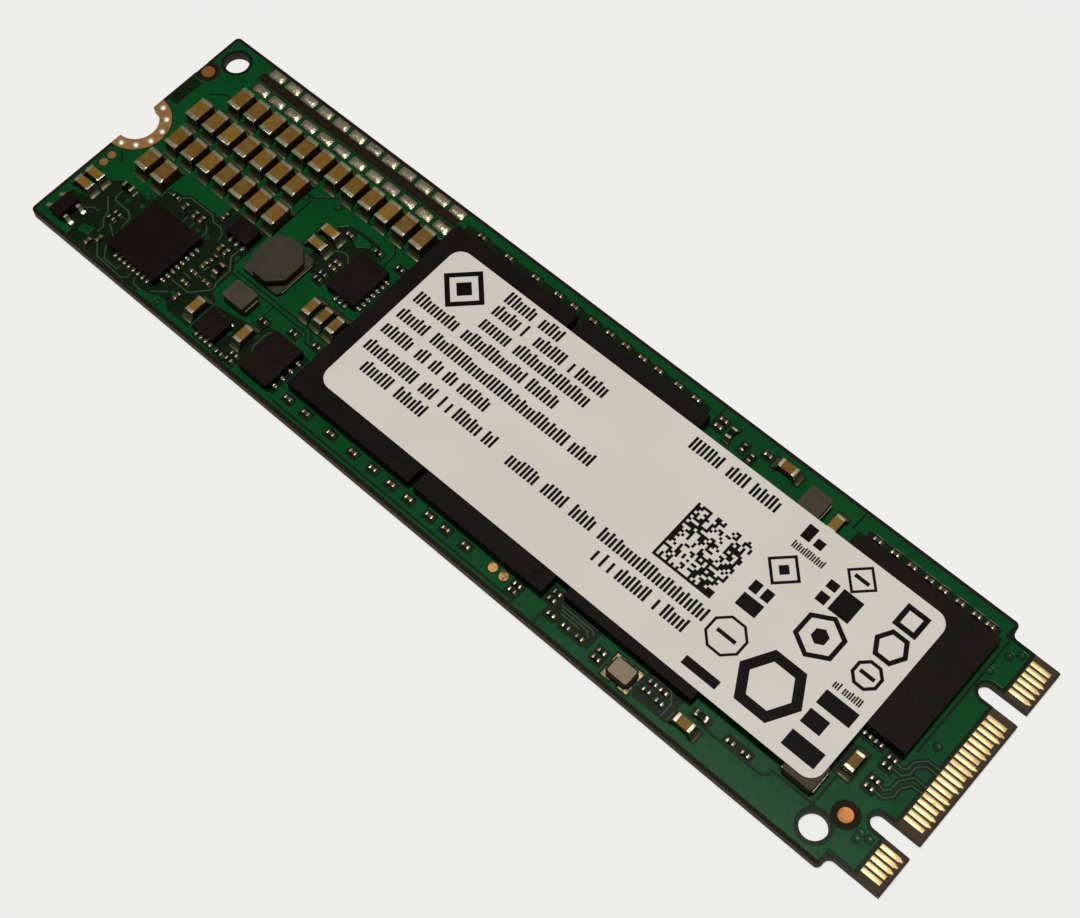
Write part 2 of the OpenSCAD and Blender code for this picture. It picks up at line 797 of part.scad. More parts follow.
module underside_test_pads() {
    color(seat_gold)
        for (p = underside_pads) translate([p[0], p[1], 0]) cylinder(r = underside_pad_r, h = foil_t);
}

module label() {
    color(paper_white)
        translate([label_at[0], label_at[1], package_top])
            linear_extrude(label_t) rounded_outline(label_l, label_w, label_r);
}

circuit_board();
edge_contacts_top();
edge_contacts_bottom();
screw_seat();
screw_seat_solder();
flash_package_left();
flash_package_right();
flash_bases();
flash_solder_balls();
controller_package();
controller_base();
controller_solder_balls();
buffer_memory_package();
buffer_memory_base();
buffer_memory_solder_balls();
power_manager_body();
power_manager_leads();
upper_regulator_body();
upper_regulator_leads();
lower_regulator_body();
lower_regulator_leads();
small_regulator_body();
small_regulator_leads();
load_switch_body();
load_switch_leads();
transistor_body();
transistor_leads();
drum_choke_core();
drum_choke_winding();
drum_choke_terminals();
moulded_choke_bodies();
moulded_choke_terminals();
oscillator_base();
oscillator_lid();
oscillator_pads();
storage_capacitors_outer_row();
storage_capacitors_second_row();
storage_capacitors_third_row();
storage_capacitors_inner_row();
storage_capacitor_ends();
storage_capacitor_solder();
spare_capacitor_solder();
mid_capacitor_bodies();
mid_capacitor_ends();
mid_capacitor_solder();
small_chip_bodies();
small_chip_ends();
small_chip_solder();
tiny_capacitor_bodies();
tiny_resistor_bodies();
tiny_chip_ends();
tiny_chip_solder();
fiducial_dots();
test_pads();
underside_test_pads();
label();
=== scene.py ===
"""Dresses a gumstick solid state drive: its finishes, copper pattern, label and studio.

Lengths are written in millimetres and become metres where a mesh is made.
"""

import json
import logging
import math
import random
from collections.abc import Callable, Iterable, Sequence
from dataclasses import dataclass, field
from enum import Enum

import bpy
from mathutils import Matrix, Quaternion, Vector

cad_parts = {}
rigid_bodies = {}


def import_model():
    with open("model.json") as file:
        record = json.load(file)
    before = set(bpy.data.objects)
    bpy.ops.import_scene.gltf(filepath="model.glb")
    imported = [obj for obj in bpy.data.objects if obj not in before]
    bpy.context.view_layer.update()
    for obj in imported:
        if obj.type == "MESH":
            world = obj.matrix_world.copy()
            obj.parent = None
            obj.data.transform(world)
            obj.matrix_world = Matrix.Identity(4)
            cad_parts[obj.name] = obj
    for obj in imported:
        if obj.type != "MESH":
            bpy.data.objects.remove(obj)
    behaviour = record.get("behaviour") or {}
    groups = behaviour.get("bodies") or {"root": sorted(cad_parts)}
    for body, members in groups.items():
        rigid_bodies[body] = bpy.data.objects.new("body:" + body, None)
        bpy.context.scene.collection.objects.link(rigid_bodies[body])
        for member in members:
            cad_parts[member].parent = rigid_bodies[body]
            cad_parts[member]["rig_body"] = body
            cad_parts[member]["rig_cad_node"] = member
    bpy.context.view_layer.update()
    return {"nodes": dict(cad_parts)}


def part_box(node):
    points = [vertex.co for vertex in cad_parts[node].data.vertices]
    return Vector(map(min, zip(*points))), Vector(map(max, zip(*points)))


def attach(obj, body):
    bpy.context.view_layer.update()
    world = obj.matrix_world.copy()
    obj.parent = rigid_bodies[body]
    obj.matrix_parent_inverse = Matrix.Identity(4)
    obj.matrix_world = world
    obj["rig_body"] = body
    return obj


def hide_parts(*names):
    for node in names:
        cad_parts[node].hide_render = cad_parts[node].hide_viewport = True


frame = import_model()

log = logging.getLogger("drive")
BODY = "root"
MM = 0.001
# Metres within which two points or two heights are the same
NEAR = 1e-6
# Least upward part of a level face's normal
LEVEL = 0.9
# Upward parts of a normal between which the painted shade of a side fades into the colour of a top
SIDE_TO_TOP = (0.15, 0.6)
# Angle up to which two faces are one flat face
FLAT_ANGLE = math.radians(0.5)
# Least angle of an edge that is rounded
EDGE_ANGLE = math.radians(35)
# Largest angle of an edge that is shaded smooth
SHADE_ANGLE = math.radians(40)
# Periods of the glass cloth along X and Y
CLOTH = (0.46, 0.41)
# Corners of a small, a usual and a large round outline
COARSE, ROUND, FINE = 16, 32, 48
# Least divisor at a line's corner, which keeps it within twice the half width
MITRE = 0.5
# How far a cutter reaches above and below what it cuts
THROUGH = 1.0

Point = tuple[float, float]
Outline = list[Point]
Box = tuple[Vector, Vector]


def rgb(code: str) -> tuple[float, float, float, float]:
    """The linear colour of a six-digit hex code, with full alpha."""
    parts = [int(code[i : i + 2], 16) / 255 for i in (1, 3, 5)]
    return (*(c / 12.92 if c <= 0.04045 else ((c + 0.055) / 1.055) ** 2.4 for c in parts), 1.0)


class Sock:
    """A value in a shader graph. Arithmetic on it adds Math nodes."""

    def __init__(self, graph: "Graph", value: "bpy.types.NodeSocket | float") -> None:
        """Wraps a socket or a number of a graph."""
        self.graph = graph
        self.value = value

    def maths(self, operation: str, *others: "Sock | float") -> "Sock":
        """The result of one Math node, whose further inputs are the others."""
        inputs = dict(enumerate((self, *others)))
        return self.graph.result("ShaderNodeMath", {"operation": operation}, inputs)

    def __add__(self, other: "Sock | float") -> "Sock":
        """Adds."""
        return self.maths("ADD", other)

    def __sub__(self, other: "Sock | float") -> "Sock":
        """Subtracts."""
        return self.maths("SUBTRACT", other)

    def __rsub__(self, other: float) -> "Sock":
        """Subtracts from a number."""
        return Sock(self.graph, other).maths("SUBTRACT", self)

    def __mul__(self, other: "Sock | float") -> "Sock":
        """Multiplies."""
        return self.maths("MULTIPLY", other)

    def __pow__(self, other: float) -> "Sock":
        """Raises to a power."""
        return self.maths("POWER", other)

    def __or__(self, other: "Sock | float") -> "Sock":
        """The larger of two values."""
        return self.maths("MAXIMUM", other)

    def __abs__(self) -> "Sock":
        """The size without the sign."""
        return self.maths("ABSOLUTE")

    __radd__ = __add__
    __rmul__ = __mul__

    def held(self) -> "Sock":
        """The value, held between 0 and 1."""
        return self.graph.result("ShaderNodeClamp", {}, {"Value": self})

    def wave(self, period: float) -> "Sock":
        """A sine of the value, from 0 to 1, that repeats after a period."""
        return (self * (2 * math.pi / period)).maths("SINE") * 0.5 + 0.5

    def rise(self, low: float, high: float) -> "Sock":
        """0 below low, 1 above high, and smooth between them."""
        inputs = {"Value": self, "From Min": low, "From Max": high}
        return self.graph.result("ShaderNodeMapRange", {"interpolation_type": "SMOOTHSTEP"}, inputs)

    def step(self, edge: float, fade: float) -> "Sock":
        """0 before an edge and 1 after it, with a fade on each side of it."""
        return self.rise(edge - fade, edge + fade)

    def between(self, low: float, high: float, fade: float) -> "Sock":
        """1 between two values, with a fade to 0 outside them."""
        return self.rise(low - fade, low) * (1 - self.rise(high, high + fade))


class Graph:
    """The shader graph of one material, with its coordinates in millimetres."""

    def __init__(self, name: str) -> None:
        """Makes a material that has only a Principled shader.

        Args:
            name: The material's name.
        """
        self.material = bpy.data.materials.new(name + "_finish")
        self.material.use_nodes = True
        self.tree = self.material.node_tree
        self.tree.nodes.clear()
        self.shader = self.node("ShaderNodeBsdfPrincipled")
        self.output = self.node("ShaderNodeOutputMaterial", {}, {"Surface": self.shader.outputs[0]})
        where = self.node("ShaderNodeTexCoord").outputs["Object"]
        scaled = self.node("ShaderNodeMapping", {}, {"Vector": where, "Scale": (1 / MM,) * 3})
        self.place = scaled.outputs[0]

    def feed(self, plug: bpy.types.NodeSocket, value: object) -> None:
        """Links an input or sets it.

        Args:
            plug: The input.
            value: A Sock or a socket to link, a hex colour, or a plain value.
        """
        value = value.value if isinstance(value, Sock) else value
        if isinstance(value, bpy.types.NodeSocket):
            self.tree.links.new(value, plug)
        else:
            plug.default_value = rgb(value) if isinstance(value, str) else value

    def node(self, kind: str, settings: dict | None = None, inputs: dict | None = None) -> bpy.types.Node:
        """Adds a node.

        Args:
            kind: The node's type.
            settings: Its properties.
            inputs: What feeds its inputs, by name or number.

        Returns:
            The new node.
        """
        made = self.tree.nodes.new(kind)
        for name, value in (settings or {}).items():
            setattr(made, name, value)
        for key, value in (inputs or {}).items():
            self.feed(made.inputs[key], value)
        return made

    def result(self, kind: str, settings: dict, inputs: dict, output: int | str = 0) -> Sock:
        """Adds a node, as node does, and gives one of its outputs as a Sock."""
        return Sock(self, self.node(kind, settings, inputs).outputs[output])

    def axes(self, vector: "bpy.types.NodeSocket | None" = None) -> list[Sock]:
        """The X, Y and Z of a vector, or of the point's place in millimetres."""
        split = self.node("ShaderNodeSeparateXYZ", {}, {0: self.place if vector is None else vector})
        return [Sock(self, output) for output in split.outputs]

    def noise(self, size: float, detail: float = 2.0, stretch: Sequence[float] = (1, 1, 1)) -> Sock:
        """Cloudy noise.

        Args:
            size: The size of its blotches, in millimetres.
            detail: How many finer layers it has.
            stretch: How much finer it is along each axis.

        Returns:
            A value round 0.5.
        """
        scaled = self.node("ShaderNodeMapping", {}, {"Vector": self.place, "Scale": tuple(stretch)})
        inputs = {"Vector": scaled.outputs[0], "Scale": 1 / size, "Detail": detail}
        return self.result("ShaderNodeTexNoise", {}, inputs)

    def grains(self, size: float) -> Sock:
        """The distance to the nearest of scattered points that lie a size apart."""
        return self.result("ShaderNodeTexVoronoi", {}, {"Vector": self.place, "Scale": 1 / size}, "Distance")

    def cloth(self) -> Sock:
        """The glass cloth of the laminate, 1 where its threads cross."""
        x, y, _ = self.axes()
        return x.wave(CLOTH[0]) * y.wave(CLOTH[1])

    def tone(self) -> Sock:
        """The value from 0 to 1 that each separate solid was given."""
        return self.result("ShaderNodeAttribute", {"attribute_name": "tone"}, {}, "Fac")

    def upward(self) -> Sock:
        """How far a face looks up: 0 on an upright side and 1 on a level top. It masks the painted shade of
        upright sides.
        """
        normal = self.node("ShaderNodeNewGeometry").outputs["Normal"]
        return abs(self.axes(normal)[2]).rise(*SIDE_TO_TOP)

    def mix(self, share: Sock, first: object, second: object) -> bpy.types.NodeSocket:
        """A blend of two hex colours or colour sockets, with this share of the second one."""
        return self.node("ShaderNodeMix", {"data_type": "RGBA"}, {0: share, 6: first, 7: second}).outputs[2]

    def bump(self, height: Sock, depth: float) -> bpy.types.NodeSocket:
        """A normal from a height, of which 1 stands for a depth in millimetres."""
        inputs = {"Strength": 1.0, "Distance": depth * MM, "Height": height}
        return self.node("ShaderNodeBump", {}, inputs).outputs[0]

    def surface(self, **inputs: object) -> bpy.types.Material:
        """Sets the shader.

        Args:
            inputs: The shader's inputs by name, with _ for a space.

        Returns:
            The finished material.
        """
        for name, value in inputs.items():
            self.feed(self.shader.inputs[name.replace("_", " ")], value)
        return self.material


@dataclass(frozen=True)
class Finish:
    """A finish that is made once and then shared.

    Attributes:
        name: Its name.
        slot: The name of the record's material slot that it stands for; not used.
    """

    name: str
    slot: str

    def material(self) -> bpy.types.Material:
        """The material, made on first use."""
        return bpy.data.materials.get(self.name + "_finish") or self.make()

    def make(self) -> bpy.types.Material:
        """Builds the material."""
        raise NotImplementedError


@dataclass(frozen=True)
class SolderMask(Finish):
    """Green lacquer over copper.

    Attributes:
        light: The colour where the lacquer is thin.
        deep: The colour where it is thick.
        weave: How much of the glass cloth shows.
        thread: The colour that the cloth gives it.
    """

    light: str
    deep: str
    weave: float = 0.0
    thread: str = "#3b4424"

    def make(self) -> bpy.types.Material:
        """Builds the lacquer, mottled and faintly woven.

        Returns:
            The material.
        """
        g = Graph(self.name)
        cloth = g.cloth() * self.weave
        mottle = (g.noise(2.6, 3) - 0.5) * 1.6 + (g.noise(0.22, 2) - 0.5) * 0.5 + 0.5
        return g.surface(
            Base_Color=g.mix(cloth, g.mix(mottle.held(), self.deep, self.light), self.thread),
            Roughness=0.2 + g.noise(0.8, 2) * 0.14,
            Specular_IOR_Level=0.07,
            Normal=g.bump(g.noise(0.35, 3) * 0.7 + cloth, 0.005),
        )


@dataclass(frozen=True)
class CardLaminate(Finish):
    """Lacquer straight on the glass laminate, bare towards the card's outline.

    Attributes:
        lacquer: The darker and the lighter colour under the lacquer.
        bare: The darker and the lighter colour of the bare laminate.
        thread: The colour that the glass cloth gives both.
        margin: The width of the bare margin, in millimetres.
        band: The lowest X and Y and the highest X and Y of a bare band.
        ring: The width of the bare ring round each sighting dot.
        fade: How far the lacquer thins out on each side of its edge.
        ring_fade: The same at a ring.
    """

    lacquer: tuple[str, str] = ("#08140a", "#12200f")
    bare: tuple[str, str] = ("#140d05", "#1f160a")
    thread: str = "#30361e"
    margin: float = 0.28
    band: tuple[float, float, float, float] = (-35.9, 9.1, -14.6, 9.85)
    ring: float = 0.48
    fade: float = 0.05
    ring_fade: float = 0.03

    def make(self) -> bpy.types.Material:
        """Builds the laminate's upper and lower face.

        Returns:
            The material.
        """
        g = Graph(self.name)
        x, y, _ = g.axes()
        low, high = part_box("circuit_board")
        bare = abs(y).step(high.y / MM - self.margin, self.fade)
        bare = bare | (1 - x.step(low.x / MM + self.margin, self.fade))
        x0, y0, x1, y1 = self.band
        bare = bare | (x.between(x0, x1, 2 * self.fade) * y.between(y0, y1, self.fade))
        for dot_x, dot_y, radius in round_parts("fiducial_dots"):
            away = ((x - dot_x) ** 2 + (y - dot_y) ** 2) ** 0.5
            bare = bare | (1 - away.step(radius + self.ring, self.ring_fade))
        cloth = g.cloth()
        colour = g.mix(bare, g.mix(g.noise(1.1, 3), *self.lacquer), g.mix(g.noise(0.6, 3), *self.bare))
        return g.surface(
            Base_Color=g.mix(cloth * 0.1, colour, self.thread),
            Roughness=0.24 + bare * 0.3 + g.noise(0.5, 2) * 0.1,
            Specular_IOR_Level=0.06,
            Normal=g.bump(cloth * 0.3 + g.noise(0.2, 3) * 0.4, 0.005),
        )


@dataclass(frozen=True)
class CutEdge(Finish):
    """The routed edge of the card, where the layers of glass cloth show.

    Attributes:
        resin: The resin's colour.
        glass: The colour of the glass in it.
        layer: The height of one layer, in millimetres.
    """

    resin: str = "#241a0c"
    glass: str = "#4a3c1f"
    layer: float = 0.2

    def make(self) -> bpy.types.Material:
        """Builds the layered edge.

        Returns:
            The material.
        """
        g = Graph(self.name)
        layers = (g.axes()[2] + g.noise(1.4, 2) * 0.05).wave(self.layer)
        fibres = g.noise(0.12, 3, (0.4, 0.4, 5))
        return g.surface(
            Base_Color=g.mix(layers * 0.6 + fibres * 0.4, self.resin, self.glass),
            Roughness=0.6 + fibres * 0.25,
            Specular_IOR_Level=0.3,
            Normal=g.bump(fibres + layers * 0.4, 0.012),
        )


@dataclass(frozen=True)
class Mould(Finish):
    """Filled epoxy, ground or moulded, as packages have.

    Attributes:
        dark: The resin's colour.
        fleck: The colour of the filler's flecks.
        grain: The size of the flecks, in millimetres.
        rough: The roughness.
    """

    dark: str
    fleck: str
    grain: float = 0.07
    rough: float = 0.55

    def make(self) -> bpy.types.Material:
        """Builds the epoxy with its flecks and its faint cloudiness.

        Returns:
            The material.
        """
        g = Graph(self.name)
        flecks = 1 - g.grains(self.grain).rise(0.15, 0.6)
        cloud = g.noise(1.8, 3) - 0.5
        share = flecks * 0.4 + cloud * 0.9 + g.tone() * 0.12
        return g.surface(
            Base_Color=g.mix(share.held(), self.dark, self.fleck),
            Roughness=self.rough + cloud * 0.25,
            Specular_IOR_Level=0.05,
            Normal=g.bump(g.noise(self.grain, 3) + flecks * 0.3, 0.006),
        )


@dataclass(frozen=True)
class Ceramic(Finish):
    """Fired capacitor ceramic, whose tone differs from chip to chip.

    Attributes:
        dark: The darkest chip's colour.
        light: The lightest chip's colour.
        dust: The colour of the dusty film on it.
        side: The colour of the upright sides: a painted shade, dark because they get little light.
    """

    dark: str = "#5e420f"
    light: str = "#785718"
    dust: str = "#80754f"
    # Painted shade of the upright sides
    side: str = "#3a1f0f"

    def make(self) -> bpy.types.Material:
        """Builds the ceramic.

        Returns:
            The material.
        """
        g = Graph(self.name)
        film = g.noise(0.5, 4).rise(0.42, 0.8)
        colour = g.mix(film * 0.3, g.mix(g.tone(), self.dark, self.light), self.dust)
        return g.surface(
            # Upright sides take the side colour, which is painted shade
            Base_Color=g.mix(g.upward() * 0.85 + 0.15, self.side, colour),
            Roughness=0.42 + g.noise(0.3, 2) * 0.2,
            Specular_IOR_Level=0.12,
            Normal=g.bump(g.noise(0.09, 3), 0.005),
        )


@dataclass(frozen=True)
class Metal(Finish):
    """Plated or soldered metal.

    Attributes:
        bright: The clean metal's colour.
        dull: The colour where it is dulled or dusty.
        rough: The roughness of the clean metal.
        patch: The size of the dull patches, in millimetres.
        depth: The depth of the unevenness, in millimetres.
        dulled: How much of it is dull.
        brushed: Whether fine lines run along X.
        side: The colour of the upright faces: a painted shade, which also makes them less metallic.
    """

    bright: str
    dull: str
    rough: float = 0.3
    patch: float = 0.35
    depth: float = 0.006
    dulled: float = 0.5
    brushed: bool = False
    side: str = ""

    def make(self) -> bpy.types.Material:
        """Builds the metal with its dull patches.

        Returns:
            The material.
        """
        g = Graph(self.name)
        edge = 1 - self.dulled
        worn = (g.noise(self.patch, 4) + (g.tone() - 0.5) * 0.2).rise(edge - 0.2, edge + 0.25)
        lines = g.noise(0.05, 3, (0.08, 1, 1) if self.brushed else (1, 1, 1))
        colour = g.mix(worn, self.bright, self.dull)
        clean = 1 - worn * 0.45
        # Upright faces are painted dark and made less metallic: painted shade that also dims what they
        # reflect
        if self.side:
            upward = g.upward()
            colour = g.mix(upward, self.side, colour)
            clean = clean * (upward * 0.75 + 0.25)
        return g.surface(
            Base_Color=colour,
            Metallic=clean,
            Roughness=self.rough + worn * 0.2 + lines * 0.12,
            Normal=g.bump(g.noise(self.patch * 0.6, 3) + lines * 0.25, self.depth),
        )


@dataclass(frozen=True)
class Ferrite(Finish):
    """Pressed magnetic powder: grey, grainy and a little pitted."""

    dark: str = "#29251c"
    light: str = "#403b2f"

    def make(self) -> bpy.types.Material:
        """Builds the pressed powder.

        Returns:
            The material.
        """
        g = Graph(self.name)
        share = g.noise(0.9, 4) * 0.9 + (g.grains(0.05) - 0.4) * 0.35 + 0.05
        return g.surface(
            Base_Color=g.mix(share.held(), self.dark, self.light),
            Roughness=0.55 + g.noise(0.4, 2) * 0.15,
            Specular_IOR_Level=0.1,
            Normal=g.bump(g.noise(0.06, 4), 0.01),
        )


@dataclass(frozen=True)
class LabelStock(Finish):
    """Coated white label film, a little warm and a little uneven."""

    clean: str = "#cec9c0"
    warm: str = "#c2bbae"

    def make(self) -> bpy.types.Material:
        """Builds the label film.

        Returns:
            The material.
        """
        g = Graph(self.name)
        fibre = g.noise(0.09, 3)
        share = g.noise(7.0, 3) * 0.8 + fibre * 0.3 - 0.15
        return g.surface(
            Base_Color=g.mix(share.held(), self.clean, self.warm),
            Roughness=0.48 + fibre * 0.16,
            Specular_IOR_Level=0.4,
            Normal=g.bump(g.noise(3.0, 2) * 0.8 + fibre * 0.12, 0.02),
        )


@dataclass(frozen=True)
class Ink(Finish):
    """Thermal print, slightly broken where the ribbon didn't take."""

    black: str = "#080504"
    worn: str = "#2a2120"

    def make(self) -> bpy.types.Material:
        """Builds the print.

        Returns:
            The material.
        """
        g = Graph(self.name)
        gaps = g.noise(0.14, 3).rise(0.52, 0.75)
        return g.surface(
            Base_Color=g.mix(gaps * 0.6, self.black, self.worn),
            Roughness=0.45 + gaps * 0.2,
            Specular_IOR_Level=0.04,
        )


MASK_COPPER = SolderMask("mask_over_copper", "board", "#07461d", "#013a18", 0.03)
MASK_RIM = SolderMask("mask_at_copper_edge", "board", "#14401f", "#0a3318")
# The traces' paler grey-green, unlike the pours over the same copper, is a painted glancing highlight
MASK_TRACE = SolderMask("mask_over_trace", "board", "#3b4d3a", "#293c2b")
CARD_FACE = CardLaminate("mask_over_laminate", "board")
CARD_EDGE = CutEdge("cut_laminate_edge", "board")
BASE_LAMINATE = Mould("package_laminate", "laminate", "#17130a", "#2c2614", 0.12, 0.5)
FLASH_MOULD = Mould("flash_mould", "mould", "#0b0605", "#261b18", 0.11)
BUFFER_MOULD = Mould("buffer_mould", "mould", "#120b07", "#2a1f18", 0.12)
CHIP_MOULD = Mould("chip_mould", "mould", "#0f0706", "#251816", 0.09, 0.45)
RESISTOR = Mould("resistor_glass", "resistor", "#0a0808", "#1e1a19", 0.05, 0.3)
CERAMIC = Ceramic("capacitor_ceramic", "ceramic")
TINY_CERAMIC = Ceramic("tiny_capacitor_ceramic", "ceramic", "#33240c", "#4c3714", "#5a523a")
# The side colours of TIN, TINY_TIN and FILLET are painted shade on their upright faces
TIN = Metal("tin_plate", "tin", "#b3ad90", "#736e55", 0.22, 0.35, 0.004, side="#2b1a11")
TINY_TIN = Metal("tiny_end_tin", "tin", "#9f9a80", "#5f5b45", 0.26, 0.3, 0.004, side="#2b1a11")
LEAD = Metal("lead_tin", "tin", "#bdb69d", "#807a62", 0.25, 0.3, 0.004, 0.4)
SOLDER = Metal("solder", "solder", "#b6ab90", "#6f6650", 0.18, 0.25, 0.03)
FILLET = Metal("solder_fillet", "solder", "#6f6d4c", "#3f4228", 0.24, 0.3, 0.012, 0.6, side="#191409")
GOLD = Metal("contact_gold", "contact_gold", "#d9ba88", "#c6a56f", 0.44, 0.6, 0.001, 0.3, True)
CREAM = Metal("seat_dot_solder", "solder", "#f2e6cc", "#cdb893", 0.46, 0.2, 0.002, 0.25)
SEAT = Metal("seat_gold", "seat_gold", "#a47b49", "#77572f", 0.4, 0.4, 0.004)
COPPER = Metal("bare_copper", "copper", "#8f5d33", "#744822", 0.44, 0.8, 0.002, 0.35)
PAD = Metal("test_pad_metal", "copper", "#906d42", "#6b5133", 0.42, 0.25, 0.004, 0.4)
CORNER = Metal("oscillator_corner_metal", "contact_gold", "#91855f", "#504934", 0.4, 0.3, 0.004, 0.55)
WIRE = Metal("enamelled_wire", "copper", "#a9552a", "#6b3017", 0.3, 0.3, 0.004, 0.4)
LID = Metal("oscillator_lid", "lid_metal", "#564c3e", "#483e32", 0.42, 1.2, 0.001, 0.3, True)
FERRITE = Ferrite("ferrite", "ferrite")
MOULDED_FERRITE = Ferrite("moulded_ferrite", "ferrite", "#332d22", "#4b4435")
LABEL_STOCK = LabelStock("label_stock", "paper")
INK = Ink("label_ink", "paper")


def hold(*pieces: bpy.types.Object) -> None:
    """Selects pieces alone and makes the first one active.

    Args:
        pieces: The pieces.
    """
    if bpy.context.object is not None and bpy.context.object.mode != "OBJECT":
        bpy.ops.object.mode_set(mode="OBJECT")
    bpy.ops.object.select_all(action="DESELECT")
    for piece in pieces:
        piece.select_set(True)
    bpy.context.view_layer.objects.active = pieces[0]


def in_edit_mode(piece: bpy.types.Object, work: Callable[[], None]) -> None:
    """Runs some work on a piece in edit mode.

    Args:
        piece: The piece.
        work: What is done there.
    """
    hold(piece)
    bpy.ops.object.mode_set(mode="EDIT")
    work()
    bpy.ops.object.mode_set(mode="OBJECT")


def select_faces(piece: bpy.types.Object, wanted: Callable[[bpy.types.MeshPolygon], bool]) -> None:
    """Selects the faces of a piece that a test picks, and no others.

    Args:
        piece: The piece, in object mode.
        wanted: The test.
    """
    mesh = piece.data
    mesh.vertices.foreach_set("select", [False] * len(mesh.vertices))
    mesh.edges.foreach_set("select", [False] * len(mesh.edges))
    mesh.polygons.foreach_set("select", [bool(wanted(p)) for p in mesh.polygons])


def modify(piece: bpy.types.Object, kind: str, **settings: object) -> None:
    """Adds a modifier, sets it and applies it.

    Args:
        piece: The piece.
        kind: The modifier's type.
        settings: Its properties.
    """
    hold(piece)
    bpy.ops.object.modifier_add(type=kind)
    added = piece.modifiers[-1]
    for name, value in settings.items():
        setattr(added, name, value)
    bpy.ops.object.modifier_apply(modifier=added.name)


def merged(piece: bpy.types.Object, flats: bool = True) -> None:
    """Merges a piece's doubled points.

    Args:
        piece: The piece.
        flats: Whether flat faces are merged too.
    """

    def work() -> None:
        """Welds, then dissolves."""
        bpy.ops.mesh.select_all(action="SELECT")
        bpy.ops.mesh.remove_doubles(threshold=NEAR)
        if flats:
            bpy.ops.mesh.dissolve_limited(angle_limit=FLAT_ANGLE)

    in_edit_mode(piece, work)


def copy_of(node: str, name: str) -> bpy.types.Object:
    """A merged copy of a CAD node, free of its body.

    Args:
        node: The CAD node's name.
        name: The copy's name.

    Returns:
        The copy.
    """
    source = frame["nodes"][node]
    piece = source.copy()
    piece.data = source.data.copy()
    piece.name = name
    piece.parent = None
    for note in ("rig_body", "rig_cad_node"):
        del piece[note]
    piece.hide_render = False
    piece.hide_viewport = False
    piece.data.materials.clear()
    bpy.context.scene.collection.objects.link(piece)
    merged(piece)
    return piece


def loose_parts(piece: bpy.types.Object) -> list[list[int]]:
    """Finds the separate solids of a merged piece.

    Args:
        piece: The piece.

    Returns:
        The point numbers of each solid.
    """
    mesh = piece.data
    leader = list(range(len(mesh.vertices)))

    def find(i: int) -> int:
        """Finds the number that stands for a point's solid.

        Args:
            i: The point's number.

        Returns:
            The solid's number.
        """
        while leader[i] != i:
            leader[i] = leader[leader[i]]
            i = leader[i]
        return i

    for edge in mesh.edges:
        leader[find(edge.vertices[0])] = find(edge.vertices[1])
    groups: dict[int, list[int]] = {}
    for i in range(len(leader)):
        groups.setdefault(find(i), []).append(i)
    return sorted(groups.values())


def part_boxes(node: str) -> list[Box]:
    """Measures the separate solids of a CAD node.

    Args:
        node: The CAD node.

    Returns:
        The box of each solid, in millimetres.
    """
    probe = copy_of(node, "probe")
    boxes = []
    for group in loose_parts(probe):
        places = [probe.data.vertices[i].co / MM for i in group]
        low = Vector(min(p[k] for p in places) for k in range(3))
        high = Vector(max(p[k] for p in places) for k in range(3))
        boxes.append((low, high))
    bpy.data.objects.remove(probe)
    return boxes


def round_parts(node: str) -> list[tuple[float, float, float]]:
    """The centre's X and Y and the radius of each round solid of a CAD node, in millimetres."""
    boxes = part_boxes(node)
    return [((low.x + high.x) / 2, (low.y + high.y) / 2, (high.x - low.x) / 2) for low, high in boxes]


def give_tones(piece: bpy.types.Object, seed: int) -> None:
    """Gives each separate solid a tone of its own, from 0 to 1.

    Args:
        piece: The piece.
        seed: The seed of the tones.
    """
    dice = random.Random(seed)
    tones = [0.0] * len(piece.data.vertices)
    for group in loose_parts(piece):
        tone = dice.random()
        for i in group:
            tones[i] = tone
    attribute = piece.data.attributes.new("tone", "FLOAT", "POINT")
    attribute.data.foreach_set("value", tones)


def soften(piece: bpy.types.Object, radius: float, steps: int = 2) -> None:
    """Rounds a piece's sharp edges and shades it.

    Args:
        piece: The piece.
        radius: The rounding's radius, in millimetres.
        steps: How many faces the rounding has.
    """
    if radius > 0:
        modify(piece, "BEVEL", width=radius * MM, segments=steps, limit_method="ANGLE",
               angle_limit=EDGE_ANGLE, harden_normals=False, miter_outer="MITER_ARC")
    hold(piece)
    bpy.ops.object.shade_smooth_by_angle(angle=SHADE_ANGLE)
    modify(piece, "WEIGHTED_NORMAL", keep_sharp=True, weight=80)


def joined(pieces: Sequence[bpy.types.Object], name: str) -> bpy.types.Object:
    """Joins pieces into the first one.

    Args:
        pieces: The pieces.
        name: The name of the result.

    Returns:
        The joined piece.
    """
    hold(*pieces)
    if len(pieces) > 1:
        bpy.ops.object.join()
    made = bpy.context.object
    made.name = name
    return made


def settle(piece: bpy.types.Object) -> bpy.types.Object:
    """Puts a piece's place, turn and scale into its mesh.

    Args:
        piece: The piece.

    Returns:
        The piece.
    """
    hold(piece)
    bpy.ops.object.transform_apply(location=True, rotation=True, scale=True)
    return piece


def flat_shape(outline: Outline, z: float) -> bpy.types.Object:
    """A flat face with a given outline.

    Args:
        outline: Its corners.
        z: Its height.

    Returns:
        The face.
    """
    bpy.ops.mesh.primitive_circle_add(vertices=len(outline), radius=MM, fill_type="NGON")
    made = bpy.context.object
    for corner, (x, y) in zip(made.data.vertices, outline):
        corner.co = (x * MM, y * MM, z * MM)
    return made


